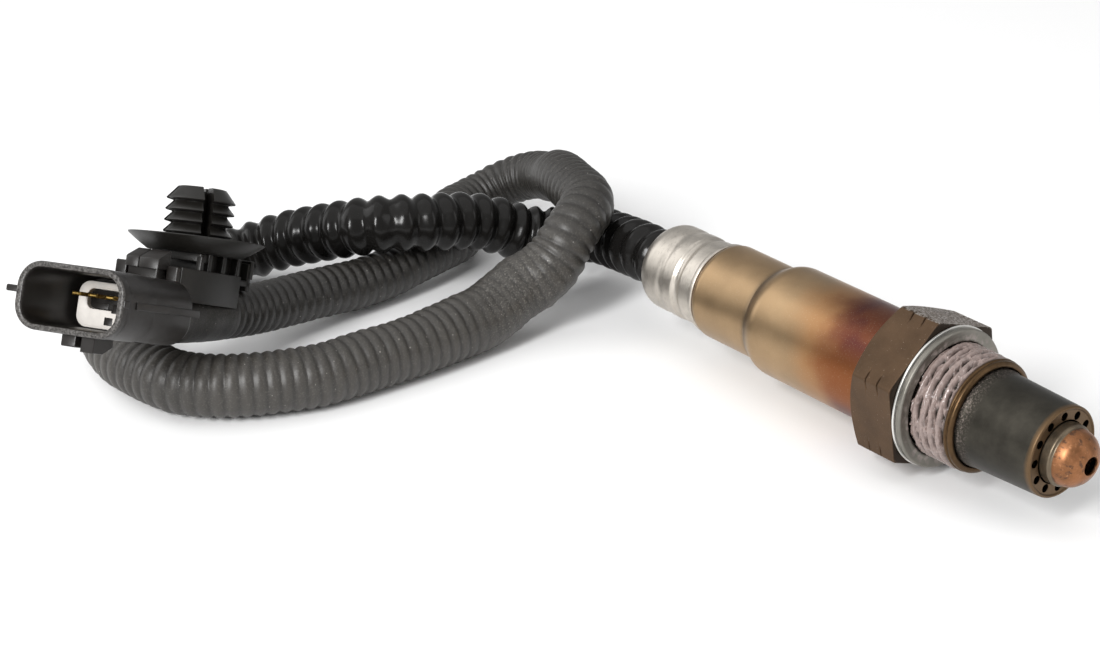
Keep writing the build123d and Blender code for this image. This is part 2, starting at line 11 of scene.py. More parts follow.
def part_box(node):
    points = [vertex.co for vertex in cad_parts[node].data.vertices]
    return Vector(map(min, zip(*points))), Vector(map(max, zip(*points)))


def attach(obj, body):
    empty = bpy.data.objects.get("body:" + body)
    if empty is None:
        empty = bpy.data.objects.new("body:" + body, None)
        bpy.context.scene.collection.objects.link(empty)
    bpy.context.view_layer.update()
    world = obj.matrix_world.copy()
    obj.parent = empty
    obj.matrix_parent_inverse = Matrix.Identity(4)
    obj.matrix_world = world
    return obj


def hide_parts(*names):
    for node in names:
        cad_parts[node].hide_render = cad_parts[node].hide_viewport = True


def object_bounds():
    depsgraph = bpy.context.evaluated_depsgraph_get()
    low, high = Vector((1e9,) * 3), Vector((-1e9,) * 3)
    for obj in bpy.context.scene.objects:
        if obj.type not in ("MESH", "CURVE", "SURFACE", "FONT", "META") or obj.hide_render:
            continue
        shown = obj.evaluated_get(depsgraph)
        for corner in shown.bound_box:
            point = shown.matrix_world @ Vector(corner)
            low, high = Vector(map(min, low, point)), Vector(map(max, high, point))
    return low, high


bl_info = {
    "name": "Oxygen sensor finishes",
    "version": (1, 0, 0),
    "blender": (4, 5, 0),
    "location": "View3D > Sidebar > Sensor",
    "description": "Builds the finished pieces of an exhaust oxygen sensor round its packed frame",
    "category": "Object",
}

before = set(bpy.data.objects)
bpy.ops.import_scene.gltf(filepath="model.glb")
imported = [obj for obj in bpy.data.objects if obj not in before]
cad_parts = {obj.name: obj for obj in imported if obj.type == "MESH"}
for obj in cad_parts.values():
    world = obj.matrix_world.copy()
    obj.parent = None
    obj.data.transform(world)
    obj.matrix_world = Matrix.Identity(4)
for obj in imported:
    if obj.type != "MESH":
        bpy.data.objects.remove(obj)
CAD_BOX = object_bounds()
MM = 0.001
BODY = "root"
AXIS_Z = sum(corner.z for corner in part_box("shell_sleeve")) / 2
FACE_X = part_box("sealing_washer")[0].x  # the hexagon's sealing face
FLOOR_Z = CAD_BOX[0].z


# ---------------------------------------------------------------- shader and node writing
def sum_with(operation):
    """An operator of Wire that adds one Math node."""
    return lambda self, other: self.maths(operation, other)


class Wire:
    """A socket that can be used in sums."""

    def __init__(self, graph, socket):
        self.graph = graph
        self.socket = socket

    def maths(self, operation, *others):
        made = self.graph.node("ShaderNodeMath", {"operation": operation}, dict(enumerate((self, *others))))
        return Wire(self.graph, made.outputs[0])

    __add__ = __radd__ = sum_with("ADD")
    __mul__ = __rmul__ = sum_with("MULTIPLY")
    __sub__ = sum_with("SUBTRACT")
    __truediv__ = sum_with("DIVIDE")
    __pow__ = sum_with("POWER")

    def __rsub__(self, other):
        return (self * -1.0) + other

    def __abs__(self):
        return self.maths("ABSOLUTE")

    def rise(self, low, high):
        """0 below low, 1 above high, with a straight climb between them."""
        return ((self - low) / (high - low)).maths("MINIMUM", 1.0).maths("MAXIMUM", 0.0)

    def soft_rise(self, low, high):
        t = self.rise(low, high)
        return t * t * (3.0 - 2.0 * t)


class Graph:
    """A node tree under construction: one method makes any node."""

    def __init__(self, tree):
        self.tree = tree

    def node(self, kind, settings=(), sockets=()):
        made = self.tree.nodes.new(kind)
        for key, value in dict(settings).items():
            setattr(made, key, value)
        for key, value in dict(sockets).items():
            self.feed(made.inputs[key], value)
        return made

    def feed(self, socket, value):
        if isinstance(value, Wire):
            self.tree.links.new(value.socket, socket)
        else:
            socket.default_value = value

    def wire(self, kind, settings=(), sockets=(), output=0):
        return Wire(self, self.node(kind, settings, sockets).outputs[output])


class Finish(Graph):
    """A material whose pattern reads the piece's Object coordinates, built up from its ground colour."""
    MIX_LOW, MIX_HIGH, MIX_RESULT = 6, 7, 2  # a Mix node's sockets for colours

    def __init__(self, name, metal=0.0, rough=0.5, colour=(0.5, 0.5, 0.5), coat=0.0, specular=0.5):
        self.material = bpy.data.materials.new(name)
        self.material.use_nodes = True
        super().__init__(self.material.node_tree)
        self.tree.nodes.clear()
        self.shader = self.node("ShaderNodeBsdfPrincipled", {}, {
            "Metallic": metal, "Roughness": rough, "Base Color": (*colour, 1.0), "Coat Weight": coat,
            "Specular IOR Level": specular})
        output = self.node("ShaderNodeOutputMaterial")
        self.tree.links.new(self.shader.outputs[0], output.inputs[0])
        self.place = self.wire("ShaderNodeTexCoord", output="Object")

    def shifted(self, shift=(0, 0, 0), stretch=(1, 1, 1)):
        return self.wire("ShaderNodeMapping", {}, {"Vector": self.place, "Location": shift, "Scale": stretch})

    def noise(self, size, detail=3.0, rough=0.55, stretch=(1, 1, 1), shift=(0, 0, 0)):
        """Smooth noise from 0 to 1 whose lumps are about size mm across."""
        return self.wire("ShaderNodeTexNoise", {}, {
            "Vector": self.shifted(shift, stretch), "Scale": 1.0 / (size * MM), "Detail": detail,
            "Roughness": rough})

    def specks(self, size, outer, inner):
        """Round specks on cells of size mm, full inside inner and gone past outer."""
        cells = self.wire("ShaderNodeTexVoronoi", {}, {"Vector": self.shifted(), "Scale": 1.0 / (size * MM)})
        return cells.rise(outer, inner)

    def attribute(self, name):
        return self.wire("ShaderNodeAttribute", {"attribute_name": name}, output="Fac")

    def station(self):
        """Distance in mm along the sensor from the sealing face, positive to the probe."""
        return (self.parts()[0] - FACE_X) / MM

    def around(self):
        """A point's place across and above the sensor's axis, and its distance from it, in mm."""
        _, y, z = self.parts()
        y, z = y / MM, (z - AXIS_Z) / MM
        return y, z, (y * y + z * z) ** 0.5

    def parts(self):
        made = self.node("ShaderNodeSeparateXYZ", {}, {0: self.place})
        return [Wire(self, output) for output in made.outputs]

    def mix(self, share, low, high):
        colours = [value if isinstance(value, Wire) else (*value, 1.0) for value in (low, high)]
        return self.wire("ShaderNodeMix", {"data_type": "RGBA"}, {
            0: share, self.MIX_LOW: colours[0], self.MIX_HIGH: colours[1]}, self.MIX_RESULT)

    def ground(self, share, colour, dark=1.0, light=1.0):
        """Starts the base colour: a colour between two shades of itself."""
        self.base = self.mix(share, shade(colour, dark), shade(colour, light))

    def over(self, share, colour):
        """Lays a colour over the base, where share is above 0."""
        self.base = self.mix(share, self.base, colour)

    def done(self, rough, height, depth, strength, metal=None):
        """Wires the base colour, the roughness and a bump of depth mm, and gives the material."""
        bump = self.wire("ShaderNodeBump", {}, {
            "Height": height, "Distance": depth * MM, "Strength": strength})
        ready = {"Base Color": self.base, "Roughness": rough, "Normal": bump}
        if metal is not None:
            ready["Metallic"] = metal
        for key, value in ready.items():
            self.feed(self.shader.inputs[key], value)
        return self.material


def shade(colour, share):
    return [c * share for c in colour]


class Recipe(Graph):
    """A geometry node tree with named inputs, which ends as plain geometry with its material."""

    def __init__(self, name, **inputs):
        super().__init__(bpy.data.node_groups.new(name, "GeometryNodeTree"))
        face = self.tree.interface
        for label, kind in {"Geometry": "Geometry", **inputs, "Material": "Material"}.items():
            face.new_socket(label, in_out="INPUT", socket_type="NodeSocket" + kind)
        face.new_socket("Geometry", in_out="OUTPUT", socket_type="NodeSocketGeometry")
        self.given = {out.name: Wire(self, out) for out in self.node("NodeGroupInput").outputs}

    def end(self, geometry):
        real = self.wire("GeometryNodeRealizeInstances", {}, {0: geometry})
        coated = self.wire("GeometryNodeSetMaterial", {}, {
            "Geometry": real, "Material": self.given["Material"]})
        self.feed(self.node("NodeGroupOutput").inputs[0], coated)
        return self.tree


def grown(carrier, tree, values):
    """The plain mesh that a node tree makes of an object, which is then removed."""
    modifier = carrier.modifiers.new("grow", "NODES")
    modifier.node_group = tree
    for item in tree.interface.items_tree:
        if item.item_type == "SOCKET" and item.in_out == "INPUT" and item.name in values:
            modifier[item.identifier] = values[item.name]
    mesh = plain_mesh(carrier)
    carrier.modifiers.remove(modifier)
    bpy.data.objects.remove(carrier)
    return mesh


def plain_mesh(carrier):
    bpy.context.view_layer.update()
    return bpy.data.meshes.new_from_object(carrier.evaluated_get(bpy.context.evaluated_depsgraph_get()))


def linked(name, data):
    """A new object at the origin, in the scene."""
    made = bpy.data.objects.new(name, data)
    bpy.context.scene.collection.objects.link(made)
    return made


# ---------------------------------------------------------------- mesh writing
def finished(name, bm, material, smooth=40.0, replace=()):
    """Turns a bmesh in metres into a piece that rides on the body."""
    bmesh.ops.remove_doubles(bm, verts=bm.verts, dist=1e-7)
    bmesh.ops.recalc_face_normals(bm, faces=bm.faces)
    return adopt(name, mesh_of(name, bm), material, smooth, replace)


def mesh_of(name, bm):
    mesh = bpy.data.meshes.new(name)
    bm.to_mesh(mesh)
    bm.free()
    return mesh


def adopt(name, mesh, material, smooth=40.0, replace=()):
    """Shades a mesh smooth up to an angle, and hands it to the frame as a piece of its body."""
    mesh.polygons.foreach_set("use_smooth", [True] * len(mesh.polygons))
    mesh.set_sharp_from_angle(angle=math.radians(smooth))
    mesh.materials.clear()
    mesh.materials.append(material)
    piece = linked(name, mesh)
    if replace:
        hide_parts(*replace)
    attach(piece, BODY)
    return piece


def rounded(corners, steps=5):
    """Corners (s, r, rounding) in mm as a closed outline with soft corners and held edges."""
    outline = []
    for k, (s, r, reach) in enumerate(corners):
        here = Vector((s, r))
        back = Vector(corners[k - 1][:2]) - here
        ahead = Vector(corners[(k + 1) % len(corners)][:2]) - here
        reach = min(reach, back.length * 0.45, ahead.length * 0.45)
        if reach < 1e-4:
            outline.append(here)
            continue
        start, end = here + back.normalized() * reach, here + ahead.normalized() * reach
        for i in range(steps + 1):
            t = i / steps
            outline.append(start * (1 - t) ** 2 + here * (2 * t * (1 - t)) + end * t * t)
    return held(outline)


def held(outline, near=0.12):
    """Adds points close to the ends of long straight stretches, so that they shade flat."""
    dense = []
    for k, here in enumerate(outline):
        ahead = outline[(k + 1) % len(outline)]
        dense.append(here)
        length = (ahead - here).length
        if length > 5 * near and here.y > 1e-6 and ahead.y > 1e-6:
            dense += [here.lerp(ahead, near / length), here.lerp(ahead, 1 - near / length)]
    return dense


def clamp(value):
    return min(1.0, max(0.0, value))


def on_axis(s, radius, turn):
    """A point of the sensor: station and radius in mm, turn in radians from +Y towards +Z."""
    return Vector((FACE_X + s * MM, radius * MM * math.cos(turn), AXIS_Z + radius * MM * math.sin(turn)))


def bridge(bm, rows, close=False):
    """Faces between closed rows of points, with the ends filled unless the last row meets the first."""
    for lower, upper in list(zip(rows, rows[1:])) + ([(rows[-1], rows[0])] if close else []):
        for k in range(len(lower)):
            j = (k + 1) % len(lower)
            corners = list(dict.fromkeys((lower[k], lower[j], upper[j], upper[k])))
            if len(corners) > 2:
                bm.faces.new(corners)
    if not close:
        bm.faces.new(rows[0])
        bm.faces.new(rows[-1])


def skin(bm, loops, close=False):
    """One surface from loops of places."""
    bridge(bm, [[bm.verts.new(place) for place in loop] for loop in loops], close)


def lathe(outline, segments):
    """A bmesh turned round the sensor's axis from a closed outline."""
    bm = bmesh.new()
    turns = [2 * math.pi * k / segments for k in range(segments)]
    bridge(bm, [[bm.verts.new(on_axis(s, r, t)) for t in turns] for s, r in outline], close=True)
    return bm


def turned(name, corners, material, slot, segments, steps=5, replace=()):
    """A piece turned round the sensor's axis from corners (s, r, rounding)."""
    return finished(name, lathe(rounded(corners, steps), segments), material, replace=replace)


# ---------------------------------------------------------------- finishes
UPPER_FLAT = Vector((0.352, 0.936))  # the way the hexagon's uppermost flat faces, across and up


def hex_finish(colours):
    f = Finish("hex_bronze", metal=0.85, rough=0.45)
    grain, cloud = f.noise(0.16, 4.0, 0.7), f.noise(5)
    f.ground(cloud.rise(0.35, 0.65), colours.hexagon, 0.8, 1.15)
    f.over(grain.rise(0.62, 0.78) * 0.5, (0.42, 0.35, 0.29))
    f.over(grain.rise(0.42, 0.28) * 0.5, (0.10, 0.07, 0.05))
    y, z, radius = f.around()
    top = (y * UPPER_FLAT.x + z * UPPER_FLAT.y).rise(10.75, 10.9)  # the flat that faces up: pale specks painted on it as glints, dark specks as grain
    sparkle_and_grain = f.noise(0.34, 2.0, 0.6)
    f.over(top * sparkle_and_grain.rise(0.46, 0.6), (0.40, 0.37, 0.34))
    f.over(top * sparkle_and_grain.rise(0.44, 0.3) * 0.7, (0.05, 0.04, 0.03))
    f.over(f.specks(0.8, 0.09, 0.04) * 0.6, (0.42, 0.33, 0.25))
    # painted shade: the front face, in the undercut beside the washer, is painted near black
    front = f.station().rise(-0.12, -0.02) * (1.0 - radius.rise(12.2, 12.6))
    f.over(front * 0.85, (0.022, 0.016, 0.012))
    return f.done(0.36 + 0.2 * cloud + 0.12 * grain, grain, 0.05, 0.5)


def washer_finish(colours):
    f = Finish("washer_steel", metal=0.9, rough=0.35)
    cloud, fine = f.noise(2.5, 4.0), f.noise(0.2)
    f.ground(cloud.rise(0.35, 0.7), colours.washer, 0.75)
    smear = f.noise(1.6, shift=(3, 1, 2)).rise(0.52, 0.6) * (1.0 - f.around()[2].rise(9.8, 10.6))
    f.over(smear * 0.4, (0.42, 0.34, 0.32))
    f.over(f.station().rise(0.6, 0.5), (0.72, 0.71, 0.68))  # painted highlight: the rear leaf's rim is painted bright
    return f.done(0.36 + 0.15 * cloud + 0.1 * fine, fine + cloud, 0.03, 0.4, metal=0.95 - 0.5 * smear)


def paste_finish(colours):
    f = Finish("thread_paste", rough=0.25, coat=0.35)
    depth, cloud = f.attribute("depth"), f.noise(1.2, 4.0, 0.6)
    f.ground(cloud.rise(0.3, 0.7), colours.paste, 0.72)
    # painted shade: the paste is darker where it lies low in the grooves
    f.over(depth.rise(0.7, 0.3), shade(colours.paste, 0.35))
    # where the paste is thinnest the thread's metal shows, painted near black as shade in the deep grooves
    bare_and_shaded = depth.rise(0.35, 0.15)
    f.over(bare_and_shaded, (0.035, 0.028, 0.022))
    return f.done(0.16 + 0.22 * cloud, f.noise(0.5, 3.0, 0.6), 0.06, 0.4, metal=0.6 * bare_and_shaded)


def tube_finish(colours):
    f = Finish("tube_gunmetal", metal=0.9, rough=0.4)
    s, radius = f.station(), f.around()[2]
    cloud, fine = f.noise(4, 4.0, 0.6), f.noise(0.18)
    f.ground(cloud.rise(0.35, 0.7), colours.probe, 0.7, 1.25)
    rust = (s + 0.5 * cloud).rise(22.1, 22.7)
    f.over(rust, colours.rim)
    f.over(fine.rise(0.55, 0.75) * rust * 0.6, (0.07, 0.045, 0.03))
    end_face = s.rise(22.6, 22.85) * (1.0 - radius.rise(6.3, 6.7))
    f.over(end_face * 0.8, (0.12, 0.105, 0.09))
    scuff = f.noise(0.32, 4.0, 0.75).rise(0.5, 0.62) * (s + 1.5 * cloud).rise(12.6, 10.6)
    f.over(scuff * 0.75, (0.23, 0.19, 0.17))
    # painted shade: the inside of the tube's mouth is painted near black
    inside = s.rise(22.6, 22.5) * radius.rise(6.75, 6.6)
    f.over(inside, (0.004, 0.003, 0.003))
    return f.done(0.33 + 0.16 * cloud + 0.1 * fine, fine + 2.0 * scuff, 0.03, 0.35)


def dome_finish(colours):
    f = Finish("dome_copper", metal=0.9, rough=0.35)
    s = f.station()
    cloud, spots = f.noise(1.6, 4.0, 0.65), f.noise(0.45, 4.0, 0.75)
    scratch = f.noise(0.35, 3.0, 0.8, stretch=(0.25, 1.3, 0.5)).rise(0.6, 0.66)
    f.ground(cloud.rise(0.4, 0.65), colours.dome, 0.7)
    f.over(scratch * 0.3, (0.6, 0.32, 0.16))
    f.over(spots.rise(0.66, 0.72) * 0.8, (0.09, 0.06, 0.045))
    burn = f.noise(1.1, 4.0, 0.7, stretch=(0.6, 1, 1), shift=(1, 2, 3)).rise(0.56, 0.62)
    f.over(burn * 0.7, (0.07, 0.045, 0.035))
    f.over(s.rise(24.65, 24.5), f.mix(cloud, (0.11, 0.085, 0.06), (0.2, 0.16, 0.11)))  # the bead
    f.over(f.around()[2].rise(1.45, 1.3) * s.rise(25, 26), (0.01, 0.008, 0.006))  # painted shade in the gas hole
    return f.done(0.28 + 0.25 * cloud, cloud + scratch, 0.03, 0.4)


def shell_finish(colours):
    f = Finish("shell_gold", metal=0.92, rough=0.36)
    s, height = f.station(), f.around()[1]
    cloud, grain = f.noise(7, 3.0, 0.5), f.noise(0.14, 3.0, 0.6, stretch=(0.7, 1, 1))
    f.ground(cloud.rise(0.35, 0.7), colours.shell, 0.85, 1.1)
    heat = s + (2.2 * (cloud - 0.5) * 4.0 + 0.18 * height)
    hot = heat.soft_rise(-20, -13)
    f.over(heat.soft_rise(-26, -18) * 0.85, (0.34, 0.175, 0.075))
    f.over(hot * 0.9, (0.21, 0.066, 0.022))
    purple = f.noise(9, 2.0, 0.5, shift=(0.2, 0.5, 0.1)).soft_rise(0.42, 0.58)
    # a purple heat tint, laid on darker towards the top and bottom of the shell as painted shade
    f.over(hot * abs(height).soft_rise(2.5, 6.5) * (0.6 + 0.4 * purple), (0.10, 0.031, 0.025))
    # painted shade in the hollow of the shell's step
    step_shade = 1.0 - abs(s + 34.5).rise(0.2, 1.3)
    f.over(step_shade * 0.6, (0.10, 0.08, 0.06))
    f.over(grain.rise(0.6, 0.8) * 0.35, (0.72, 0.62, 0.46))
    return f.done(0.25 + 0.1 * cloud + 0.12 * grain, grain, 0.02, 0.35)


def cap_finish(colours):
    f = Finish("cap_steel", metal=0.95, rough=0.32)
    cloud, rub = f.noise(2.2, 4.0, 0.6), f.noise(0.3, 3.0, 0.6, stretch=(1.5, 0.35, 0.35))
    f.ground(cloud.rise(0.35, 0.7), colours.cap, 0.8)
    f.over(rub.rise(0.56, 0.7) * 0.5, (0.27, 0.245, 0.215))
    return f.done(0.22 + 0.22 * cloud + 0.1 * rub, rub + cloud, 0.03, 0.35)


def black_conduit_finish(colours):
    f = Finish("conduit_black", rough=0.22, specular=0.2)
    dust, cloud = f.noise(0.25, 3.0, 0.7), f.noise(6)
    f.base = colours.black_conduit
    f.over(dust.rise(0.66, 0.74) * 0.2, (0.10, 0.095, 0.09))
    return f.done(0.15 + 0.1 * cloud + 0.2 * dust.rise(0.6, 0.75), cloud, 0.05, 0.3)


def grey_conduit_finish(colours):
    f = Finish("conduit_grey", rough=0.6)
    cloud, dust = f.noise(9, 4.0, 0.6), f.noise(0.3, 4.0, 0.75)
    wave, along = f.attribute("ripple"), f.attribute("along") / MM
    grey = colours.grey_conduit
    f.ground(cloud.rise(0.3, 0.7), grey, 0.8, 1.15)
    f.over(along.rise(104, 122) * 0.9, shade(grey, 0.4))  # past the wrap the sleeve is darker
    # painted shade: darker in the valleys between the rings
    f.over(wave.rise(0.8, 0.15) * 0.55, shade(grey, 0.3))
    dusty = 0.35 + 0.5 * along.rise(84, 90) * along.rise(108, 100)
    f.over(dust.rise(0.52, 0.66) * dusty, (0.14, 0.13, 0.115))
    f.over(dust.rise(0.42, 0.3) * 0.5, (0.02, 0.018, 0.016))
    f.over(f.specks(1.5, 0.07, 0.03) * 0.7, (0.5, 0.47, 0.44))
    return f.done(0.3 + 0.25 * dust, dust * 0.6 + cloud, 0.12, 0.45)


def plug_finish(name, colour):
    f = Finish(name, rough=0.42, specular=0.4)
    grain, cloud = f.noise(0.12, 3.0, 0.6), f.noise(5)
    f.ground(cloud, colour, 0.75, 1.25)
    f.over(f.specks(2.4, 0.05, 0.02) * 0.5, (0.3, 0.29, 0.27))
    # the mouth's rim is painted lighter: rubbed plastic and painted highlight
    worn_and_sheen = f.attribute("rim") * f.noise(0.3, 3.0, 0.7).rise(0.4, 0.62)
    f.over(worn_and_sheen * 0.6, (0.2, 0.19, 0.18))
    return f.done(0.27 + 0.14 * cloud + 0.1 * grain, grain, 0.03, 0.35)


def pale_finish(name, colour, rough=0.5, size=1.5):
    """A plain moulded, fired or pressed material with a little life in it."""
    f = Finish(name, rough=rough)
    cloud = f.noise(size, 4.0, 0.6)
    f.ground(cloud.rise(0.3, 0.75), colour, 0.86)
    return f.done(rough - 0.08 + 0.16 * cloud, cloud, 0.04, 0.3)


def metal_finish(name, colour, rough=0.3):
    f = Finish(name, metal=1.0, rough=rough)
    cloud = f.noise(0.8, 4.0, 0.6)
    f.ground(cloud.rise(0.3, 0.7), colour, 0.7)
    return f.done(rough - 0.06 + 0.2 * cloud, cloud, 0.02, 0.3)


# ---------------------------------------------------------------- sizes and colours
def tint(name, description, *default):
    return FloatVectorProperty(name=name, description=description, subtype="COLOR", size=3, default=default)


def span(name, description, mm):
    return FloatProperty(name=name, description=description, unit="LENGTH", precision=5, default=mm * MM)


def share(name, description, default):
    return FloatProperty(name=name, description=description, subtype="FACTOR", precision=3, default=default)


class SensorColours(bpy.types.PropertyGroup):
    """Base colours of the pieces, in linear light"""
    hexagon: tint("Hexagon", "Brown tinted steel of the body", 0.092, 0.056, 0.032)
    washer: tint("Washer", "Grey sheet steel of the sealing washer", 0.27, 0.255, 0.225)
    paste: tint("Paste", "Assembly paste on the thread", 0.27, 0.205, 0.185)
    probe: tint("Probe tube", "Dark steel of the protection tube", 0.046, 0.042, 0.034)
    rim: tint("Probe rim", "Straw tint on the probe's rim", 0.135, 0.085, 0.045)
    dome: tint("Dome", "Copper tint of the inner cup", 0.33, 0.145, 0.065)
    shell: tint("Shell", "Straw tinted steel of the shell", 0.36, 0.245, 0.137)
    cap: tint("Cap", "Bright steel of the crimped cap", 0.60, 0.555, 0.495)
    black_conduit: tint("Black conduit", "Glossy conduit at the sensor", 0.007, 0.0065, 0.006)
    grey_conduit: tint("Grey conduit", "Dusty sleeve of the second conduit", 0.038, 0.0345, 0.030)
    plug: tint("Plug", "Moulded plastic of the plug", 0.010, 0.0082, 0.007)
    clip: tint("Clip", "Moulded plastic of the clip", 0.008, 0.0072, 0.006)


class SensorSizes(bpy.types.PropertyGroup):
    """Sizes of the sensor itself"""
    across_flats: span("Across flats", "Spanner size of the hexagon", 22.0)
    hex_length: span("Hexagon length", "Length of the hexagon", 8.6)
    hex_lean: FloatProperty(name="Hexagon lean", description="How far the top corner leans", subtype="ANGLE",
                            default=math.radians(9.4))
    thread_pitch: span("Thread pitch", "Pitch of the mounting thread", 1.5)
    gas_holes: IntProperty(name="Gas holes", default=12,
                           description="Number of holes in the probe's end face")
    gas_hole: span("Gas hole", "Diameter of a gas hole", 1.35)
    hole_circle: span("Hole circle", "Radius of the circle of gas holes", 5.65)


class LeadSizes(bpy.types.PropertyGroup):
    """Rings of the two conduits"""
    black_pitch: span("Black pitch", "Pitch of the black conduit's rings", 3.6)
    black_depth: share("Black depth", "Depth of its rings as a share of its radius", 0.17)
    grey_pitch: span("Grey pitch", "Pitch of the grey conduit's rings", 1.9)
    grey_depth: share("Grey depth", "Depth of its rings as a share of its radius", 0.065)


class PlugSizes(bpy.types.PropertyGroup):
    """Sizes of the plug and its clip"""
    width: span("Shroud width", "Outside width of the plug's shroud", 18.7)
    height: span("Shroud height", "Outside height of the shroud", 10.2)
    barbs: IntProperty(name="Barbs", description="Number of barbs on each side of the clip's stem", default=5)


# ---------------------------------------------------------------- stage
class SENSOR_OT_stage(bpy.types.Operator):
    """Pale floor, soft studio light and the camera"""
    bl_idname = "sensor.stage"
    bl_label = "Stage"

    EYE = Vector((0.2428, -0.2618, 0.1903))
    LOOK = Vector((-0.6947, 0.5708, -0.4376))
    FOCAL_LENGTH = 2600 / 1100  # as a share of the width of the camera's chip
    FLOOR_HALF = 4.0
    AIM = Vector((-0.03, -0.02, 0.01))
    LAMPS = (("front", (0.16, -0.66, 0.44), (0.15, 0.36), 6.4), ("top", (-0.12, -0.1, 0.8), (1.0, 1.0), 2.0),
             ("left", (-0.6, -0.35, 0.35), (0.4, 0.7), 1.4), ("right", (0.6, 0.3, 0.4), (0.3, 0.7), 1.0))
    SKY = 0.46

    def execute(self, context):
        self.camera(context)
        self.floor()
        for name, place, size, watts in self.LAMPS:
            self.lamp(name, place, size, watts)
        self.world(context)
        return {"FINISHED"}

    def camera(self, context):
        data = bpy.data.cameras.new("camera")
        data.sensor_width = 36.0
        data.lens = data.sensor_width * self.FOCAL_LENGTH
        data.clip_start = 0.01
        camera = linked("camera", data)
        camera.location = self.EYE
        camera.rotation_euler = self.LOOK.to_track_quat("-Z", "Y").to_euler()
        context.scene.camera = camera

    def floor(self):
        bm = bmesh.new()
        corners = ((-1, -1), (1, -1), (1, 1), (-1, 1))
        bm.faces.new([bm.verts.new((x * self.FLOOR_HALF, y * self.FLOOR_HALF, FLOOR_Z)) for x, y in corners])
        mesh = mesh_of("floor", bm)
        paint = Finish("floor_paint", rough=0.85)
        paint.feed(paint.shader.inputs["Base Color"], paint.mix(paint.noise(400), [0.90] * 3, [0.93] * 3))
        mesh.materials.append(paint.material)
        floor = linked("floor", mesh)

    def lamp(self, name, place, size, watts):
        data = bpy.data.lights.new(name, "AREA")
        data.shape = "RECTANGLE"
        data.size, data.size_y = size
        data.energy = watts
        lamp = linked(name, data)
        lamp.location = place
        lamp.rotation_euler = (self.AIM - Vector(place)).to_track_quat("-Z", "Y").to_euler()

    def world(self, context):
        world = bpy.data.worlds.new("studio")
        world.use_nodes = True
        sky = world.node_tree.nodes["Background"].inputs
        sky["Color"].default_value = (1.0, 1.0, 1.0, 1.0)
        sky["Strength"].default_value = self.SKY
        context.scene.world = world
        context.scene.view_settings.view_transform = "Standard"


# ---------------------------------------------------------------- the sensor
class SENSOR_OT_hexagon(bpy.types.Operator):
    """The body's hexagon with its turned rear chamfer, corner ticks, spigot and crimp lip"""
    bl_idname = "sensor.hexagon"
    bl_label = "Hexagon"

    CHAMFER_START = 10.65
    CHAMFER_SLOPE = math.tan(math.radians(30))
    BORE = 8.2
    ROWS = 140
    TICKS = (-2.6, -4.9)
    TICK_DEPTH, TICK_HALF, TICK_REACH = 0.42, 0.14, 8  # mm, mm and degrees from the corner
    BROKEN = 0.09  # how far the corner's edge is cut back

    def execute(self, context):
        sizes = context.scene.sensor_sizes
        self.flat = sizes.across_flats / MM / 2
        self.length = sizes.hex_length / MM
        self.lean = math.radians(90) + sizes.hex_lean
        bm = bmesh.new()
        skin(bm, [[on_axis(s, r, t) for s, r in self.column(t)] for t in self.turns()], close=True)
        finished("hexagon", bm, hex_finish(context.scene.sensor_colours), 32.0, ["hex_body"])
        self.lip()
        return {"FINISHED"}

    def turns(self):
        """Angles round the hexagon, close together at the corners."""
        half = [0, 0.35, 0.8, 1.4, 2.2, 3.2, 4.5, 6, 8, 11, 15, 20, 25, 30]
        side = sorted({-a for a in half[:-1]} | set(half))
        return [self.lean + math.radians(60 * k + a) for k in range(6) for a in side]

    def off_corner(self, turn):
        return (turn - self.lean + math.radians(30)) % math.radians(60) - math.radians(30)

    def reach(self, turn):
        """Distance from the axis to the flat, with the corner's edge just broken."""
        sharp = self.flat / math.cos(math.radians(30) - abs(self.off_corner(turn)))
        return min(sharp, self.flat / math.cos(math.radians(30)) - self.BROKEN)

    def column(self, turn):
        """The hexagon's section at one angle, from the bore round the outside and back."""
        r, rear, bore = self.reach(turn), -self.length, self.BORE
        shoulder = rear + max(0.0, (r - self.CHAMFER_START)) * self.CHAMFER_SLOPE
        points = [(-0.9, bore), (-0.25, bore + 0.1), (0.0, bore + 0.4), (0.0, r - 0.9), (0.0, r - 0.16),
                  (-0.04, r - 0.05)]
        start, end = -0.13, shoulder + 0.04
        side = [start + (end - start) * k / self.ROWS for k in range(self.ROWS + 1)]
        points += [(s, r - self.tick(s, turn)) for s in side]
        points += [(shoulder - 0.05, r - 0.1), (rear + 0.04, min(r, self.CHAMFER_START) - 0.02),
                   (rear, min(r, self.CHAMFER_START) - 0.15), (rear, bore + 0.3)]
        return points

    def tick(self, s, turn):
        """Depth of the two short cuts across each corner."""
        off = math.degrees(self.off_corner(turn))
        narrow = max(0.0, 1 - (abs(off) / self.TICK_REACH) ** 2)
        return narrow * sum(self.TICK_DEPTH * max(0.0, 1 - abs(s - tick - 0.03 * off) / self.TICK_HALF)
                            for tick in self.TICKS)

    def lip(self):
        """The crimped ring round the probe's root."""
        turned("crimp_ring", [
            (7.9, 8.4, 0.1), (8.1, 8.85, 0.2), (8.5, 8.9, 0.15), (8.62, 8.62, 0.1), (8.85, 8.78, 0.15),
            (9.2, 8.72, 0.25), (9.45, 8.2, 0.3), (9.35, 7.8, 0.2), (7.9, 7.8, 0.1)],
            metal_finish("lip_straw", (0.115, 0.07, 0.036), 0.34), "hex_bronze", segments=192)


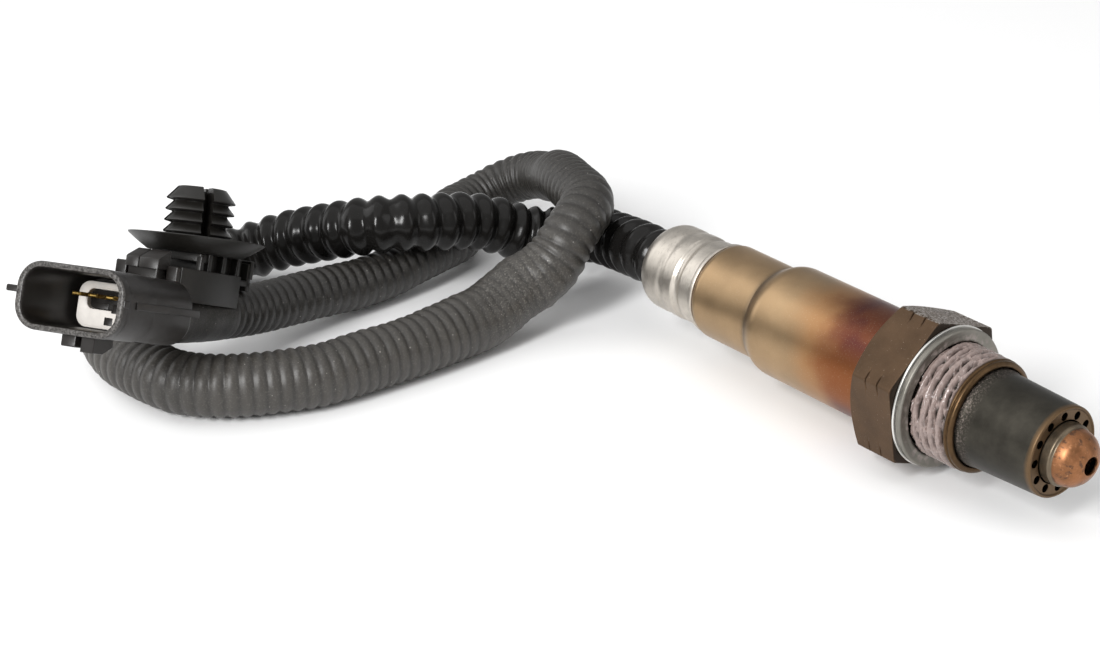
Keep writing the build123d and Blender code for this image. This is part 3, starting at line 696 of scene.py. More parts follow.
class SENSOR_OT_thread(bpy.types.Operator):
    """The M18 thread under wrinkled assembly paste"""
    bl_idname = "sensor.thread"
    bl_label = "Thread"

    START, END = -0.6, 7.95
    CREST, ROOT = 9.0, 8.15
    SEGMENTS, ROWS = 380, 110
    DRIFT = 0.16  # how far the ridges wander, as a share of the pitch
    SMEAR, STRAND, LUMPS = 2.4, 4.2, 0.14  # how strong the three patterns of paste are
    BARE_TO, FADE = 1.15, 0.35  # mm at the washer without paste, and over which it sets in

    def execute(self, context):
        pitch = context.scene.sensor_sizes.thread_pitch / MM
        bm = bmesh.new()
        layer = bm.verts.layers.float.new("depth")
        rings = []
        for i in range(self.ROWS + 1):
            s = self.START + (self.END - self.START) * i / self.ROWS
            ring = []
            for k in range(self.SEGMENTS):
                turn = 2 * math.pi * k / self.SEGMENTS
                radius, depth = self.surface(s, turn, pitch)
                vert = bm.verts.new(on_axis(s, radius, turn))
                vert[layer] = depth
                ring.append(vert)
            rings.append(ring)
        bridge(bm, rings)
        finished("thread", bm, paste_finish(context.scene.sensor_colours), 70.0)
        return {"FINISHED"}

    def surface(self, s, turn, pitch):
        """Radius in mm and how full of paste the thread is, from 0 with no paste to 1."""
        y, z = math.cos(turn), math.sin(turn)
        drift = self.DRIFT * noise.noise(Vector((s * 0.5, 2.3 * y, 2.3 * z)))
        ridge = 0.5 + 0.5 * math.cos(2 * math.pi * (s / pitch - turn / (2 * math.pi) + drift))
        smear = self.SMEAR * (noise.noise(Vector((s * 1.3, 3.0 * y + 3, 3.0 * z))) + 0.02)
        strand = 1 - self.STRAND * abs(noise.noise(Vector((s * 1.0 - 1.3 * turn, 3.2 * y, 3.2 * z + 7))))
        level = max(ridge ** 0.7, 0.85 * min(1.0, smear), 0.95 * strand)
        level += self.LUMPS * noise.fractal(Vector((s * 2.0, 8 * y, 8 * z)), 0.8, 2.1, 3)
        level = clamp(level) * clamp((s - self.BARE_TO) / self.FADE) * clamp((self.END + 0.1 - s) / 0.4)
        return self.ROOT + (self.CREST - self.ROOT) * level, level


class SENSOR_OT_washer(bpy.types.Operator):
    """The folded washer, with its two leaves showing at the rim"""
    bl_idname = "sensor.washer"
    bl_label = "Washer"

    def execute(self, context):
        turned("washer", [
            (0.05, 8.35, 0.1), (0.05, 10.9, 0.1), (0.12, 11.12, 0.08), (0.45, 11.12, 0.08),
            (0.5, 10.45, 0.05), (0.68, 10.45, 0.05), (0.75, 10.98, 0.1), (1.4, 10.98, 0.14),
            (1.55, 10.72, 0.1), (1.5, 9.75, 0.1), (1.55, 9.2, 0.12), (1.4, 8.95, 0.15), (1.0, 8.9, 0.1),
            (0.8, 9.6, 0.1), (0.6, 8.4, 0.1)],
            washer_finish(context.scene.sensor_colours), "washer_steel", segments=220,
            replace=["sealing_washer"])
        return {"FINISHED"}


class SENSOR_OT_probe(bpy.types.Operator):
    """The outer protection tube with its gas holes, and the domed inner cup"""
    bl_idname = "sensor.probe"
    bl_label = "Probe"

    END_FACE = 22.7  # where the gas holes are, in mm from the sealing face
    HOLE_SIDES, PUNCH_DEPTH = 24, 3.0

    def execute(self, context):
        colours, sizes = context.scene.sensor_colours, context.scene.sensor_sizes
        tube = turned("probe_blank", [
            (8.2, 4.7, 0.1), (8.2, 7.6, 0.1), (9.7, 7.66, 0.2), (10.3, 7.5, 0.3), (21.6, 7.1, 0.6),
            (22.75, 7.04, 0.4), (22.93, 6.72, 0.18), (22.62, 6.5, 0.12), (22.62, 4.9, 0.1), (22.1, 4.9, 0.1),
            (22.1, 6.3, 0.3), (21.2, 6.6, 0.6), (10.4, 6.98, 0.3), (8.7, 7.1, 0.1), (8.7, 4.7, 0.1)],
            tube_finish(colours), "tube_gunmetal", segments=192, steps=7)
        self.drill(tube, sizes)
        turned("probe_dome", [
            (7.5, 4.05, 0.05), (7.5, 7.4, 0.1), (8.05, 7.4, 0.1), (8.05, 4.45, 0.1), (22.5, 4.45, 0.1),
            (22.65, 4.74, 0.15), (24.15, 4.74, 0.4), (24.4, 4.4, 0.12), (25.0, 4.36, 0.4), (26.1, 4.08, 0.7),
            (27.3, 3.1, 0.9), (27.9, 2.0, 0.7), (28.1, 1.42, 0.12), (27.7, 1.38, 0.1), (27.4, 2.0, 0.4),
            (26.8, 3.0, 0.7), (25.7, 3.75, 0.7), (24.6, 4.0, 0.3)],
            dome_finish(colours), "dome_copper", segments=160, steps=6, replace=["inner_protection_tube"])
        return {"FINISHED"}

    def drill(self, blank, sizes):
        """Makes the tube from its blank, by cutting the ring of gas holes."""
        material = blank.data.materials[0]
        mesh = grown(blank, gas_hole_tree(), {
            "Count": sizes.gas_holes, "Circle": sizes.hole_circle, "Hole": sizes.gas_hole,
            "Sides": self.HOLE_SIDES, "Depth": self.PUNCH_DEPTH * MM,
            "Centre": on_axis(self.END_FACE, 0, 0), "Material": material})
        adopt("probe_tube", mesh, material, 35.0, ["outer_protection_tube"])


def gas_hole_tree():
    """A shape with a ring of round holes cut along x."""
    g = Recipe("gas_hole_ring", Count="Int", Circle="Float", Hole="Float", Sides="Int", Depth="Float",
               Centre="Vector")
    given = g.given
    circle = g.wire("GeometryNodeMeshCircle", {"fill_type": "NONE"}, {
        "Vertices": given["Count"], "Radius": given["Circle"]})
    punch = g.wire("GeometryNodeMeshCylinder", {"fill_type": "NGON"}, {
        "Vertices": given["Sides"], "Radius": given["Hole"] * 0.5, "Depth": given["Depth"]})
    punches = g.wire("GeometryNodeInstanceOnPoints", {}, {"Points": circle, "Instance": punch})
    solid = g.wire("GeometryNodeRealizeInstances", {}, {0: punches})
    placed = g.wire("GeometryNodeTransform", {}, {
        "Geometry": solid, "Translation": given["Centre"], "Rotation": (0, math.radians(90), 0)})
    return g.end(g.wire("GeometryNodeMeshBoolean", {"operation": "DIFFERENCE", "solver": "EXACT"}, {
        "Mesh 1": given["Geometry"], "Mesh 2": placed}))


class SENSOR_OT_shell(bpy.types.Operator):
    """The stepped shell and the crimped cap behind it"""
    bl_idname = "sensor.shell"
    bl_label = "Shell and cap"

    def execute(self, context):
        colours = context.scene.sensor_colours
        turned("shell", [
            (-8.55, 8.45, 0.1), (-8.55, 9.08, 0.12), (-32.6, 9.08, 1.6), (-34.3, 8.25, 0.5),
            (-34.9, 7.86, 0.35), (-46.4, 7.9, 0.8), (-47.2, 7.5, 0.4), (-47.28, 6.9, 0.1), (-46.6, 6.8, 0.1),
            (-46.2, 7.2, 0.2), (-34.9, 7.25, 0.5), (-33.0, 8.4, 0.5)],
            shell_finish(colours), "shell_gold", segments=220, steps=8, replace=["shell_sleeve"])
        turned("cap", [
            (-44.4, 6.2, 0.1), (-44.4, 6.6, 0.1), (-47.3, 6.65, 0.1), (-47.32, 7.5, 0.12),
            (-47.5, 7.64, 0.14), (-48.0, 7.6, 0.2), (-48.3, 7.2, 0.3), (-50.9, 7.12, 0.5),
            (-51.5, 6.75, 0.35), (-52.2, 6.8, 0.3), (-52.7, 7.2, 0.5), (-54.6, 7.2, 0.5), (-55.5, 6.98, 0.5),
            (-56.4, 7.2, 0.6), (-59.3, 7.18, 1.2), (-60.75, 6.3, 1.1), (-60.8, 5.2, 0.15),
            (-60.3, 5.18, 0.1), (-60.0, 6.0, 0.5), (-59.0, 6.6, 0.5)],
            cap_finish(colours), "cap_steel", segments=220, steps=8, replace=["crimp_cap"])
        return {"FINISHED"}


class SENSOR_OT_inside(bpy.types.Operator):
    """Finishes of the pieces inside the sensor and the plug"""
    bl_idname = "sensor.inside"
    bl_label = "Inner pieces"

    def execute(self, context):
        white = pale_finish("ceramic_white", (0.86, 0.85, 0.81), 0.45)
        talc = pale_finish("talc", (0.78, 0.76, 0.70), 0.8, 0.6)
        rubber = pale_finish("black_rubber", (0.02, 0.02, 0.02), 0.6)
        steel = metal_finish("contact_steel", (0.6, 0.59, 0.57))
        cover = pale_finish("wire_cover", (0.25, 0.25, 0.26), 0.4)
        coats = {"talc_seal": talc, "cable_grommet": rubber, "wire_seal": rubber}
        for node in ("sensing_element", "heater_rod", "ceramic_bush", "contact_holder"):
            coats[node] = white
        for k in range(1, 5):
            coats[f"contact_spring_{k}"] = steel
            coats[f"lead_wire_{k}"] = cover
        for node, material in coats.items():
            paint_node(node, material)
        return {"FINISHED"}


def paint_node(node, material):
    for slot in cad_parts[node].material_slots:
        slot.material = material


# ---------------------------------------------------------------- the lead
# control points of the lead, in mm, a list for each stretch of conduit
BLACK_ROUTE = [
    (-43.9, 0.0, 12.53), (-50.9, 0.0, 12.53), (-59.9, 3.2, 10.0), (-69.5, 4.0, 8.7), (-76.2, -2.9, 7.1),
    (-79.5, -12.5, 12.1), (-80.4, -23.0, 14.2), (-84.0, -31.1, 14.9), (-93.0, -35.5, 11.6),
    (-100.9, -38.1, 8.3), (-105.5, -43.4, 5.7), (-107.0, -52.3, 5.0), (-105.3, -63.5, 5.05),
]
GREY_ROUTE = [
    (-100.3, -74.2, 5.1), (-90.3, -79.0, 5.1), (-83.8, -79.8, 5.05), (-78.0, -79.2, 5.05),
    (-72.0, -78.1, 5.1), (-66.4, -73.8, 5.3), (-62.8, -67.6, 5.3), (-59.9, -59.4, 5.1),
    (-59.4, -51.8, 5.3), (-58.9, -43.1, 5.1), (-59.2, -33.6, 5.4),
]
WRAP_ROUTE = [(-59.6, -26.4, 5.7), (-60.0, -20.2, 8.4), (-58.2, -14.5, 10.9)]
THIN_ROUTE = [
    (-58.4, -9.5, 16.7), (-61.4, -2.9, 18.7), (-68.5, -0.3, 18.1), (-77.4, 3.3, 17.1), (-85.5, 9.0, 12.1),
    (-93.6, 12.0, 9.7), (-99.3, 9.3, 7.0), (-101.2, 3.3, 4.45), (-98.6, -6.0, 4.9), (-88.2, -8.5, 5.2),
    (-85.7, -18.9, 5.8), (-84.3, -31.0, 4.45), (-83.8, -44.2, 6.0), (-82.3, -57.7, 7.6),
]
LUMPS_PER_METRE = 260.0
WRAP_REACH = 9 * MM  # from the middle of the wrap to about its end
SLEEVE_RADII = (5.0, 5.05, 5.35, 5.3, 4.6, 4.6, 4.35, 4.2)
SLEEVE_STATIONS = (0.0, 79.0, 87.0, 104.0, 112.0, 135.0, 150.0, 280.0)  # mm along the grey sleeve


class SENSOR_OT_lead(bpy.types.Operator):
    """The black ringed conduit and the grey sleeved conduit to the plug"""
    bl_idname = "sensor.lead"
    bl_label = "Lead"

    BLACK_RADIUS = 4.95
    GREY_DIAMETER = 9.6  # over most of its length
    STRAIGHT_END = 6.0

    def execute(self, context):
        sizes, colours = context.scene.lead_sizes, context.scene.sensor_colours
        meeting = (Vector(BLACK_ROUTE[-1]) + Vector(GREY_ROUTE[0])) / 2
        black = [Vector(p) * MM for p in BLACK_ROUTE + [meeting]]
        plug = SENSOR_OT_plug
        tail = [plug_frame() @ Vector((0, -plug.TAIL_DROP, -plug.TAIL_END - run)) / MM
                for run in (self.STRAIGHT_END, 0.0)]
        grey = [Vector(p) * MM for p in [meeting] + GREY_ROUTE + WRAP_ROUTE + THIN_ROUTE + tail]
        values = {"Pitch": sizes.black_pitch, "Depth": sizes.black_depth, "Sharpness": 0.8,
                  "Steps": 14, "Sides": 64, "Wrinkle": 0.0, "Cuff": 0.1 * MM, "Patch": -1.0}
        self.tube("conduit_black_tube", black, [self.BLACK_RADIUS] * len(black), values,
                  black_conduit_finish(colours), "conduit_black", ["black_conduit"],
                  diameter=2 * self.BLACK_RADIUS * MM, far_end="object")
        values = {"Pitch": sizes.grey_pitch, "Depth": sizes.grey_depth, "Sharpness": 0.55,
                  "Steps": 12, "Sides": 56, "Wrinkle": 0.16 * MM, "Cuff": 16.0 * MM, "Patch": 95.0 * MM}
        self.tube("conduit_grey_tube", grey, self.sleeve_radii(grey), values, grey_conduit_finish(colours),
                  "conduit_grey", ["grey_conduit", "conduit_wrap", "thin_conduit"],
                  diameter=self.GREY_DIAMETER * MM, far_end="connector", with_pieces=["plug_housing"])
        return {"FINISHED"}

    def tube(self, name, points, radii, values, material, slot, replace, diameter, far_end, **more):
        """A tube along a route, handed to the frame as a piece of its body."""
        mesh = grown(smooth_line(points, radii), corrugated_tree(), {**values, "Material": material})
        piece = adopt(name, mesh, material, 180.0, replace)
        path = centreline(points)

    def sleeve_radii(self, points):
        """The sleeve's radius at each control point, by its distance along the route."""
        radii, along = [], 0.0
        for k, point in enumerate(points):
            along += (point - points[k - 1]).length / MM if k else 0.0
            radii.append(between(along, SLEEVE_STATIONS, SLEEVE_RADII))
        return radii


def between(x, places, values):
    """Straight-line reading of a table."""
    for k in range(1, len(places)):
        if x <= places[k]:
            share = max(0.0, (x - places[k - 1]) / (places[k] - places[k - 1]))
            return values[k - 1] * (1 - share) + values[k] * share
    return values[-1]


def smooth_line(points, radii=None):
    """A curve object whose one spline has these points as its control points."""
    data = bpy.data.curves.new("route", "CURVE")
    data.dimensions = "3D"
    data.resolution_u = 24
    spline = data.splines.new("NURBS")
    spline.points.add(len(points) - 1)
    for k, (point, place) in enumerate(zip(spline.points, points)):
        point.co = (*place, 1.0)
        point.radius = radii[k] * MM if radii else 1.0
    spline.order_u = 3
    spline.use_endpoint_u = True
    return linked("route", data)


def centreline(points):
    """Points along the route's own spline."""
    line = smooth_line(points)
    path = [vert.co.copy() for vert in plain_mesh(line).vertices]
    bpy.data.objects.remove(line)
    return path


def corrugated_tree():
    """A tube along a curve whose radius rises and falls with the distance along it."""
    g = Recipe("corrugated_tube", Pitch="Float", Depth="Float", Sharpness="Float", Steps="Int", Sides="Int",
               Wrinkle="Float", Cuff="Float", Patch="Float")
    given = g.given
    line = g.wire("GeometryNodeResampleCurve", {"mode": "LENGTH"}, {
        "Curve": given["Geometry"], "Length": given["Pitch"] / given["Steps"]})
    along = g.wire("GeometryNodeSplineParameter", output="Length")
    wave = ((along / given["Pitch"] * (2 * math.pi)).maths("COSINE") * 0.5 + 0.5) ** given["Sharpness"]
    taped = (abs(along - given["Patch"]) / WRAP_REACH).soft_rise(1.3, 0.8)  # the rings fade under the wrap
    for name, value in (("ripple", wave), ("along", along), ("taped", taped)):
        line = g.wire("GeometryNodeStoreNamedAttribute", {"data_type": "FLOAT", "domain": "POINT"}, {
            "Geometry": line, "Name": name, "Value": value})
    radius = g.wire("GeometryNodeInputRadius")
    left = g.wire("GeometryNodeSplineLength") - along
    ringed = (left / given["Cuff"]).rise(0.9, 1.1)  # no rings on the cuff
    size = radius * (1.0 - given["Depth"] * (1.0 - wave) * ringed * (1.0 - 0.8 * taped))
    ring = g.wire("GeometryNodeCurvePrimitiveCircle", {"mode": "RADIUS"}, {
        "Resolution": given["Sides"], "Radius": 1.0})
    tube = g.wire("GeometryNodeCurveToMesh", {}, {
        "Curve": line, "Profile Curve": ring, "Scale": size, "Fill Caps": True})
    lumps = g.wire("ShaderNodeTexNoise", {}, {"Scale": LUMPS_PER_METRE, "Detail": 2.0, "Roughness": 0.5})
    near = g.wire("GeometryNodeInputNamedAttribute", {"data_type": "FLOAT"}, {"Name": "taped"})
    push = g.wire("ShaderNodeVectorMath", {"operation": "SCALE"}, {
        0: g.wire("GeometryNodeInputNormal"),
        "Scale": (lumps - 0.55) * given["Wrinkle"] * (2.0 + 3.0 * near)})
    return g.end(g.wire("GeometryNodeSetPosition", {}, {"Geometry": tube, "Offset": push}))


# ---------------------------------------------------------------- the plug
PLUG_CENTRE = Vector((-64.78, -99.47, 28.6))
PLUG_YAW, PLUG_PITCH, PLUG_ROLL = 24.24, 27.4, 4.12


def plug_frame():
    """Takes the plug's own mm (x across, y up, z out of the mouth) to the frame's metres."""
    yaw, pitch = math.radians(PLUG_YAW), math.radians(PLUG_PITCH)
    mouth = Vector((math.sin(yaw) * math.cos(pitch), -math.cos(yaw) * math.cos(pitch), math.sin(pitch)))
    across = Matrix.Rotation(math.radians(PLUG_ROLL), 3, mouth) @ Vector((math.cos(yaw), math.sin(yaw), 0))
    up = mouth.cross(across)
    turn = Matrix((across, up, mouth)).transposed().to_4x4()
    return Matrix.Translation(PLUG_CENTRE * MM) @ turn @ Matrix.Scale(MM, 4)


def rounded_loop(width, height, corner, z, x=0.0, y=0.0, steps=7):
    """A rectangle with round corners, across the plug's own z."""
    loop = []
    for cx, cy, start in ((1, 1, 0), (-1, 1, 90), (-1, -1, 180), (1, -1, 270)):
        for k in range(steps + 1):
            turn = math.radians(start + 90 * k / steps)
            loop.append(Vector((x + cx * (width / 2 - corner) + corner * math.cos(turn),
                                y + cy * (height / 2 - corner) + corner * math.sin(turn), z)))
    return loop


def soft_bar(bm, width, height, corner, z_from, z_to, x, y, edge=0.18):
    """A bar of rounded section whose end edges are broken."""
    edge = min(edge, corner * 0.9, (z_to - z_from) * 0.4)
    loops = []
    for z, inset in ((z_from, edge), (z_from + edge * 0.3, edge * 0.3), (z_from + edge, 0.0),
                     (z_to - edge, 0.0), (z_to - edge * 0.3, edge * 0.3), (z_to, edge)):
        loops.append(rounded_loop(width - 2 * inset, height - 2 * inset, max(corner - inset, 0.02), z, x, y))
    skin(bm, loops)


def bars(bm, rows):
    """Soft bars, a row for each: width, height, corner, z from, z to, x, y and broken edge."""
    for row in rows:
        soft_bar(bm, *row)


def prism(bm, outline, low, high, edge=0.12, across=False):
    """A bar along z with any convex section (x, y), or across x with a section (z, y)."""
    middle = sum((Vector(p) for p in outline), Vector((0, 0))) / len(outline)
    reach = max((Vector(p) - middle).length for p in outline)
    loops = []
    for run, inset in ((low, edge), (low + edge, 0.0), (high - edge, 0.0), (high, edge)):
        flat = [middle + (Vector(p) - middle) * (1 - inset / reach) for p in outline]
        loops.append([Vector((run, b, a)) if across else Vector((a, b, run)) for a, b in flat])
    skin(bm, loops)


def plugged(name, bm, material, smooth=40.0, replace=()):
    """A piece from a bmesh in the plug's own mm."""
    bm.transform(plug_frame())
    finished(name, bm, material, smooth, replace)


class SENSOR_OT_plug(bpy.types.Operator):
    """The plug's housing, its pale insert and the blade pins"""
    bl_idname = "sensor.plug"
    bl_label = "Plug"

    WALL = 1.25
    LENGTH = 21.5
    TAIL_END, TAIL_DROP = 25.5, 0.5
    RIM_WEAR_AND_SHEEN = 0.3  # how far from the mouth's edge the plastic is painted lighter, as rubbing and painted highlight

    def execute(self, context):
        sizes, colours = context.scene.plug_sizes, context.scene.sensor_colours
        width, height = sizes.width / MM, sizes.height / MM
        black = plug_finish("connector_black", colours.plug)
        bm = bmesh.new()
        rim = bm.verts.layers.float.new("rim")
        self.shroud(bm, width, height)
        for vert in bm.verts:
            vert[rim] = max(0.0, 1.0 - abs(vert.co.z + 0.05) / self.RIM_WEAR_AND_SHEEN)
        self.tail(bm)
        self.fittings(bm, width, height)
        plugged("plug_housing", bm, black, 38.0, ["connector_housing"])
        self.insert(black)
        gold = metal_finish("pin_gold", (0.72, 0.47, 0.14), 0.28)
        for k in range(1, 5):
            paint_node(f"terminal_pin_{k}", gold)
        return {"FINISHED"}

    def insert(self, black):
        """The pale terminal block, its dark window and a keying slot below it."""
        bm = bmesh.new()
        loops = [rounded_loop(13.2 - less, 7.05 - less, 1.9 - less / 2, z, 0.0, -0.28)
                 for z, less in ((-15.9, 0.0), (-12.45, 0.0), (-12.27, 0.14), (-12.2, 0.45))]
        loops += [rounded_loop(9.9 - less, 3.1 - less, 1.0 - less / 2, z, 0.0, 0.61)
                  for z, less in ((-12.2, -0.3), (-12.3, 0.0), (-14.9, 0.1))]
        skin(bm, loops)
        pale = pale_finish("insert_white", (0.74, 0.70, 0.655), 0.5)
        plugged("plug_insert", bm, pale, 38.0, ["connector_insert"])
        bm = bmesh.new()
        bars(bm, [(9.7, 2.9, 0.9, -14.9, -13.1, 0.0, 0.61, 0.05),
                  *((2.2, 0.95, 0.1, -14.6, -12.9, x + 0.4, -0.35, 0.05) for x in (-3.0, 0.0, 3.0)),
                  (1.45, 1.2, 0.1, -12.6, -12.12, -0.7, -2.55, 0.04),
                  (1.2, 0.5, 0.1, -12.6, -12.14, 0.2, -1.0, 0.04)])
        plugged("plug_window", bm, black)

    def shroud(self, bm, w, h):
        """One skin from the rear over the outside, round the rim and into the cavity."""
        end, wall = -self.LENGTH, self.WALL
        outer = [(end, 4.6, 3.0), (end + 0.05, 3.9, 3.1), (end + 0.5, 2.9, 3.3), (end + 1.6, 1.2, 3.6),
                 (end + 2.6, 0.5, 3.7), (-9.1, 0.5, 3.7), (-8.97, 0.48, 3.7), (-8.92, 0.26, 3.8),
                 (-8.75, 0.18, 3.82), (-5.0, 0.18, 3.82), (-1.9, 0.18, 3.82), (-1.75, 0.14, 3.84),
                 (-1.6, 0.0, 3.9), (-0.5, 0.0, 3.9), (-0.18, 0.14, 3.85), (-0.04, 0.42, 3.7),
                 (0.0, 0.75, 3.55)]
        inner = [(0.0, 1.6, 3.1), (-0.06, 2.0, 2.95), (-0.3, 2.3, 2.8), (-0.7, 2 * wall, 2.7),
                 (-8.0, 2 * wall + 0.25, 2.6), (-15.6, 2 * wall + 0.5, 2.5), (-16.0, 2 * wall + 1.0, 2.3)]
        skin(bm, [rounded_loop(w - less, h - less * 0.8, corner, z, steps=12)
                  for z, less, corner in outer + inner])

    def tail(self, bm):
        """The collar that takes the conduit."""
        profile = ((0, 4.2), (0, 4.5), (0.2, 4.68), (1.1, 4.7), (1.3, 4.55), (3.5, 4.6), (5.5, 4.7))
        skin(bm, [rounded_loop(2 * r, 2 * r, r - 0.01, ahead - self.TAIL_END, y=-self.TAIL_DROP, steps=12)
                  for ahead, r in profile])

    def fittings(self, bm, w, h):
        """Latch block and lugs on top, low rails at the sides, keying feet below."""
        top = h / 2
        block = ((-17.9, top + 1.25), (-17.9, top + 2.65), (-18.1, top + 2.9), (-21.0, top + 4.2),
                 (-21.3, top + 4.1), (-21.4, top + 1.25))
        prism(bm, block, -2.9, -0.62, 0.1, across=True)
        prism(bm, block, -0.5, 2.95, 0.1, across=True)
        bars(bm, [(5.2, 2.0, 0.2, -20.9, -18.4, 0.0, top + 0.5),
                  (1.95, 2.5, 0.25, -21.0, -18.3, -3.85, top + 0.8),
                  (1.95, 2.5, 0.25, -22.4, -20.5, 3.85, top + 0.75),
                  *((1.0, 1.1, 0.1, -21.1, -3.6, side * (w / 2 - 0.36), 0.4, 0.08) for side in (-1, 1)),
                  (0.5, 1.1, 0.15, -1.6, -0.2, w / 2 - 0.1, 0.45),
                  (2.4, 1.0, 0.25, -2.0, -0.5, -w / 2 - 0.9, 0.55),
                  (2.5, 2.2, 0.2, -6.5, -1.4, 0.0, -top - 0.6)])
        foot = ((-1.4, -top + 0.2), (-1.4, -top - 2.2), (-3.9, -top - 2.2), (-6.4, -top - 1.0),
                (-6.4, -top + 0.2))
        prism(bm, foot, 2.2, 4.5, 0.1, across=True)


# ---------------------------------------------------------------- the clip
CLIP_BACK = 32.7  # the stem's axis, in mm behind the plug's mouth


def spun(bm, profile, segments=120):
    """A closed skin from (r, y) points turned about the clip's own stem."""
    turns = [2 * math.pi * k / segments for k in range(segments)]
    skin(bm, [[Vector((r * math.cos(t), y, r * math.sin(t) - CLIP_BACK)) for t in turns]
              for r, y in profile], close=True)


def repeated_tree():
    """Copies of a shape, each one step and one turn on from the last."""
    g = Recipe("repeated_shape", Count="Int", Step="Vector", Turn="Vector")
    line = g.wire("GeometryNodeMeshLine", {}, {"Count": g.given["Count"], "Offset": g.given["Step"]})
    turned = g.wire("ShaderNodeVectorMath", {"operation": "SCALE"}, {
        0: g.given["Turn"], "Scale": g.wire("GeometryNodeInputIndex")})
    turn = g.wire("FunctionNodeEulerToRotation", {}, {0: turned})
    return g.end(g.wire("GeometryNodeInstanceOnPoints", {}, {
        "Points": line, "Instance": g.given["Geometry"], "Rotation": turn}))


def repeated(name, bm, place, material, count, step=(0, 0, 0), turn=(0, 0, 0)):
    """Repeats a shape with the node tree, then sets it in its place in the frame."""
    bmesh.ops.recalc_face_normals(bm, faces=bm.faces)
    mesh = grown(linked(name, mesh_of(name, bm)), repeated_tree(), {
        "Count": count, "Step": step, "Turn": turn, "Material": material})
    mesh.transform(place)
    return adopt(name, mesh, material, 38.0)


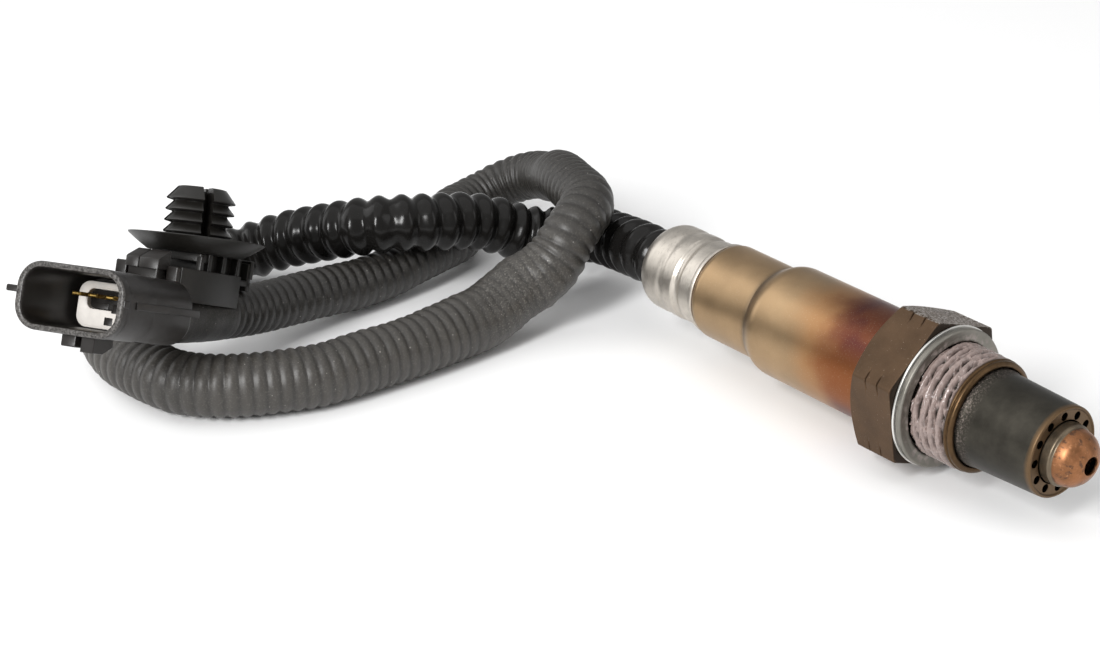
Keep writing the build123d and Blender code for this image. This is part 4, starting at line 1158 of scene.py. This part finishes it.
class SENSOR_OT_clip(bpy.types.Operator):
    """The push-in clip: saddle ribs, dished disc and barbed stem"""
    bl_idname = "sensor.clip"
    bl_label = "Clip"

    RIB_PITCH = 4.3
    RIBS = 4
    FRONT_RIB = -30.3
    LEAN = 1.5  # degrees, of the dish and stem against the plug
    HALF_SLOT, BARB_PITCH, TOP_BARB = 0.75, 1.74, 18.0

    def execute(self, context):
        black = plug_finish("clip_black", context.scene.sensor_colours.clip)
        place = plug_frame()
        axis = Matrix.Translation((0, 9.6, -CLIP_BACK))
        lean = axis @ Matrix.Rotation(math.radians(self.LEAN), 4, "Z") @ axis.inverted()
        bm = bmesh.new()
        self.dish(bm)
        bm.transform(lean)
        self.saddle(bm)
        plugged("clip_body", bm, black, 38.0, ["mounting_clip"])
        bm = bmesh.new()
        self.fin(bm, context.scene.plug_sizes.barbs)
        stem = place @ lean @ Matrix.Translation((0, 0, -CLIP_BACK))
        repeated("clip_fins", bm, stem, black, 4, turn=(0, math.pi / 2, 0))
        bm = bmesh.new()
        soft_bar(bm, 9.0, 2.9, 0.12, -0.5, 0.5, 0.0, 8.4, 0.1)
        front = place @ Matrix.Translation((0, 0, self.FRONT_RIB))
        repeated("clip_ribs", bm, front, black, self.RIBS, step=(0, 0, -self.RIB_PITCH))
        return {"FINISHED"}

    def dish(self, bm):
        """The dished disc with its thin rim, and the round core of the stem."""
        spun(bm, [(0.02, 9.65), (6.6, 9.65), (7.5, 9.72), (9.1, 10.75), (10.65, 11.9), (10.75, 12.05),
                  (10.7, 12.18), (10.45, 12.15), (8.9, 11.2), (7.3, 10.35), (6.6, 10.3), (1.2, 10.3),
                  (1.1, 10.4), (1.1, 19.2), (0.9, 19.5), (0.02, 19.5)])

    def fin(self, bm, barbs):
        """A quarter of the barbed stem, between the two slots."""
        half_slot, top = self.HALF_SLOT, self.TOP_BARB
        profile = [(4.2, 10.2), (4.25, 10.3)]
        for k in reversed(range(barbs)):
            tip = top - k * self.BARB_PITCH
            if tip > 10.8:
                profile += [(4.3, tip - 0.42), (4.4, tip - 0.3), (5.32, tip - 0.12), (5.42, tip),
                            (5.38, tip + 0.12), (5.2, tip + 0.32)]
        profile += [(4.0, top + 1.75), (3.75, top + 2.0), (3.4, top + 2.08)]
        apex = half_slot * math.sqrt(2) + 0.02
        loops = []
        for r, y in profile:
            spread = math.pi / 4 - math.asin(half_slot / r)
            arc = [Vector((r * math.cos(t), y, r * math.sin(t)))
                   for t in (spread * (k / 8 - 1) for k in range(17))]
            loops.append(arc + [Vector((apex, y, 0.02)), Vector((apex, y, -0.02))])
        skin(bm, loops)

    def saddle(self, bm):
        """The plate under the dish, its spine, and the sides that straddle the conduit."""
        front, back, side_end = -21.7, -10.8 - CLIP_BACK, -6.7 - CLIP_BACK
        bars(bm, [(8.6, 1.0, 0.2, back, front, 0.0, 6.2), (6.6, 3.0, 0.2, back + 1.6, -30.0, 0.0, 8.3),
                  (5.6, 1.35, 0.15, -31.0, -27.7, 1.4, 9.05), (8.6, 4.4, 0.2, back, back + 1.2, 0.0, 7.2)])
        for side in (-1, 1):
            bars(bm, [(0.5, 5.1, 0.1, side_end, front, side * 4.7, 4.6),
                      (0.9, 2.6, 0.12, -28.5, -27.6, side * 4.0, 8.0)])


# ---------------------------------------------------------------- the add-on
STEPS = ("stage", "hexagon", "thread", "washer", "probe", "shell", "inside", "plug", "clip", "lead")


class SENSOR_PT_panel(bpy.types.Panel):
    """Lists the sensor's sizes, colours and pieces"""
    bl_idname = "SENSOR_PT_panel"
    bl_label = "Oxygen sensor"
    bl_space_type = "VIEW_3D"
    bl_region_type = "UI"
    bl_category = "Sensor"

    def draw(self, context):
        for group in (context.scene.sensor_sizes, context.scene.lead_sizes, context.scene.plug_sizes,
                      context.scene.sensor_colours):
            box = self.layout.box()
            for key in group.__annotations__:
                box.prop(group, key)
        for step in STEPS:
            self.layout.operator(f"sensor.{step}")


CLASSES = (SensorColours, SensorSizes, LeadSizes, PlugSizes, SENSOR_OT_stage, SENSOR_OT_hexagon,
           SENSOR_OT_thread, SENSOR_OT_washer, SENSOR_OT_probe, SENSOR_OT_shell, SENSOR_OT_inside,
           SENSOR_OT_lead, SENSOR_OT_plug, SENSOR_OT_clip, SENSOR_PT_panel)
GROUPS = {"sensor_colours": SensorColours, "sensor_sizes": SensorSizes, "lead_sizes": LeadSizes,
          "plug_sizes": PlugSizes}


def register():
    for item in CLASSES:
        bpy.utils.register_class(item)
    for name, group in GROUPS.items():
        setattr(bpy.types.Scene, name, PointerProperty(type=group))


def unregister():
    for name in GROUPS:
        delattr(bpy.types.Scene, name)
    for item in reversed(CLASSES):
        bpy.utils.unregister_class(item)


def main():
    register()
    for step in STEPS:
        getattr(bpy.ops.sensor, step)()


if __name__ == "__main__":
    main()
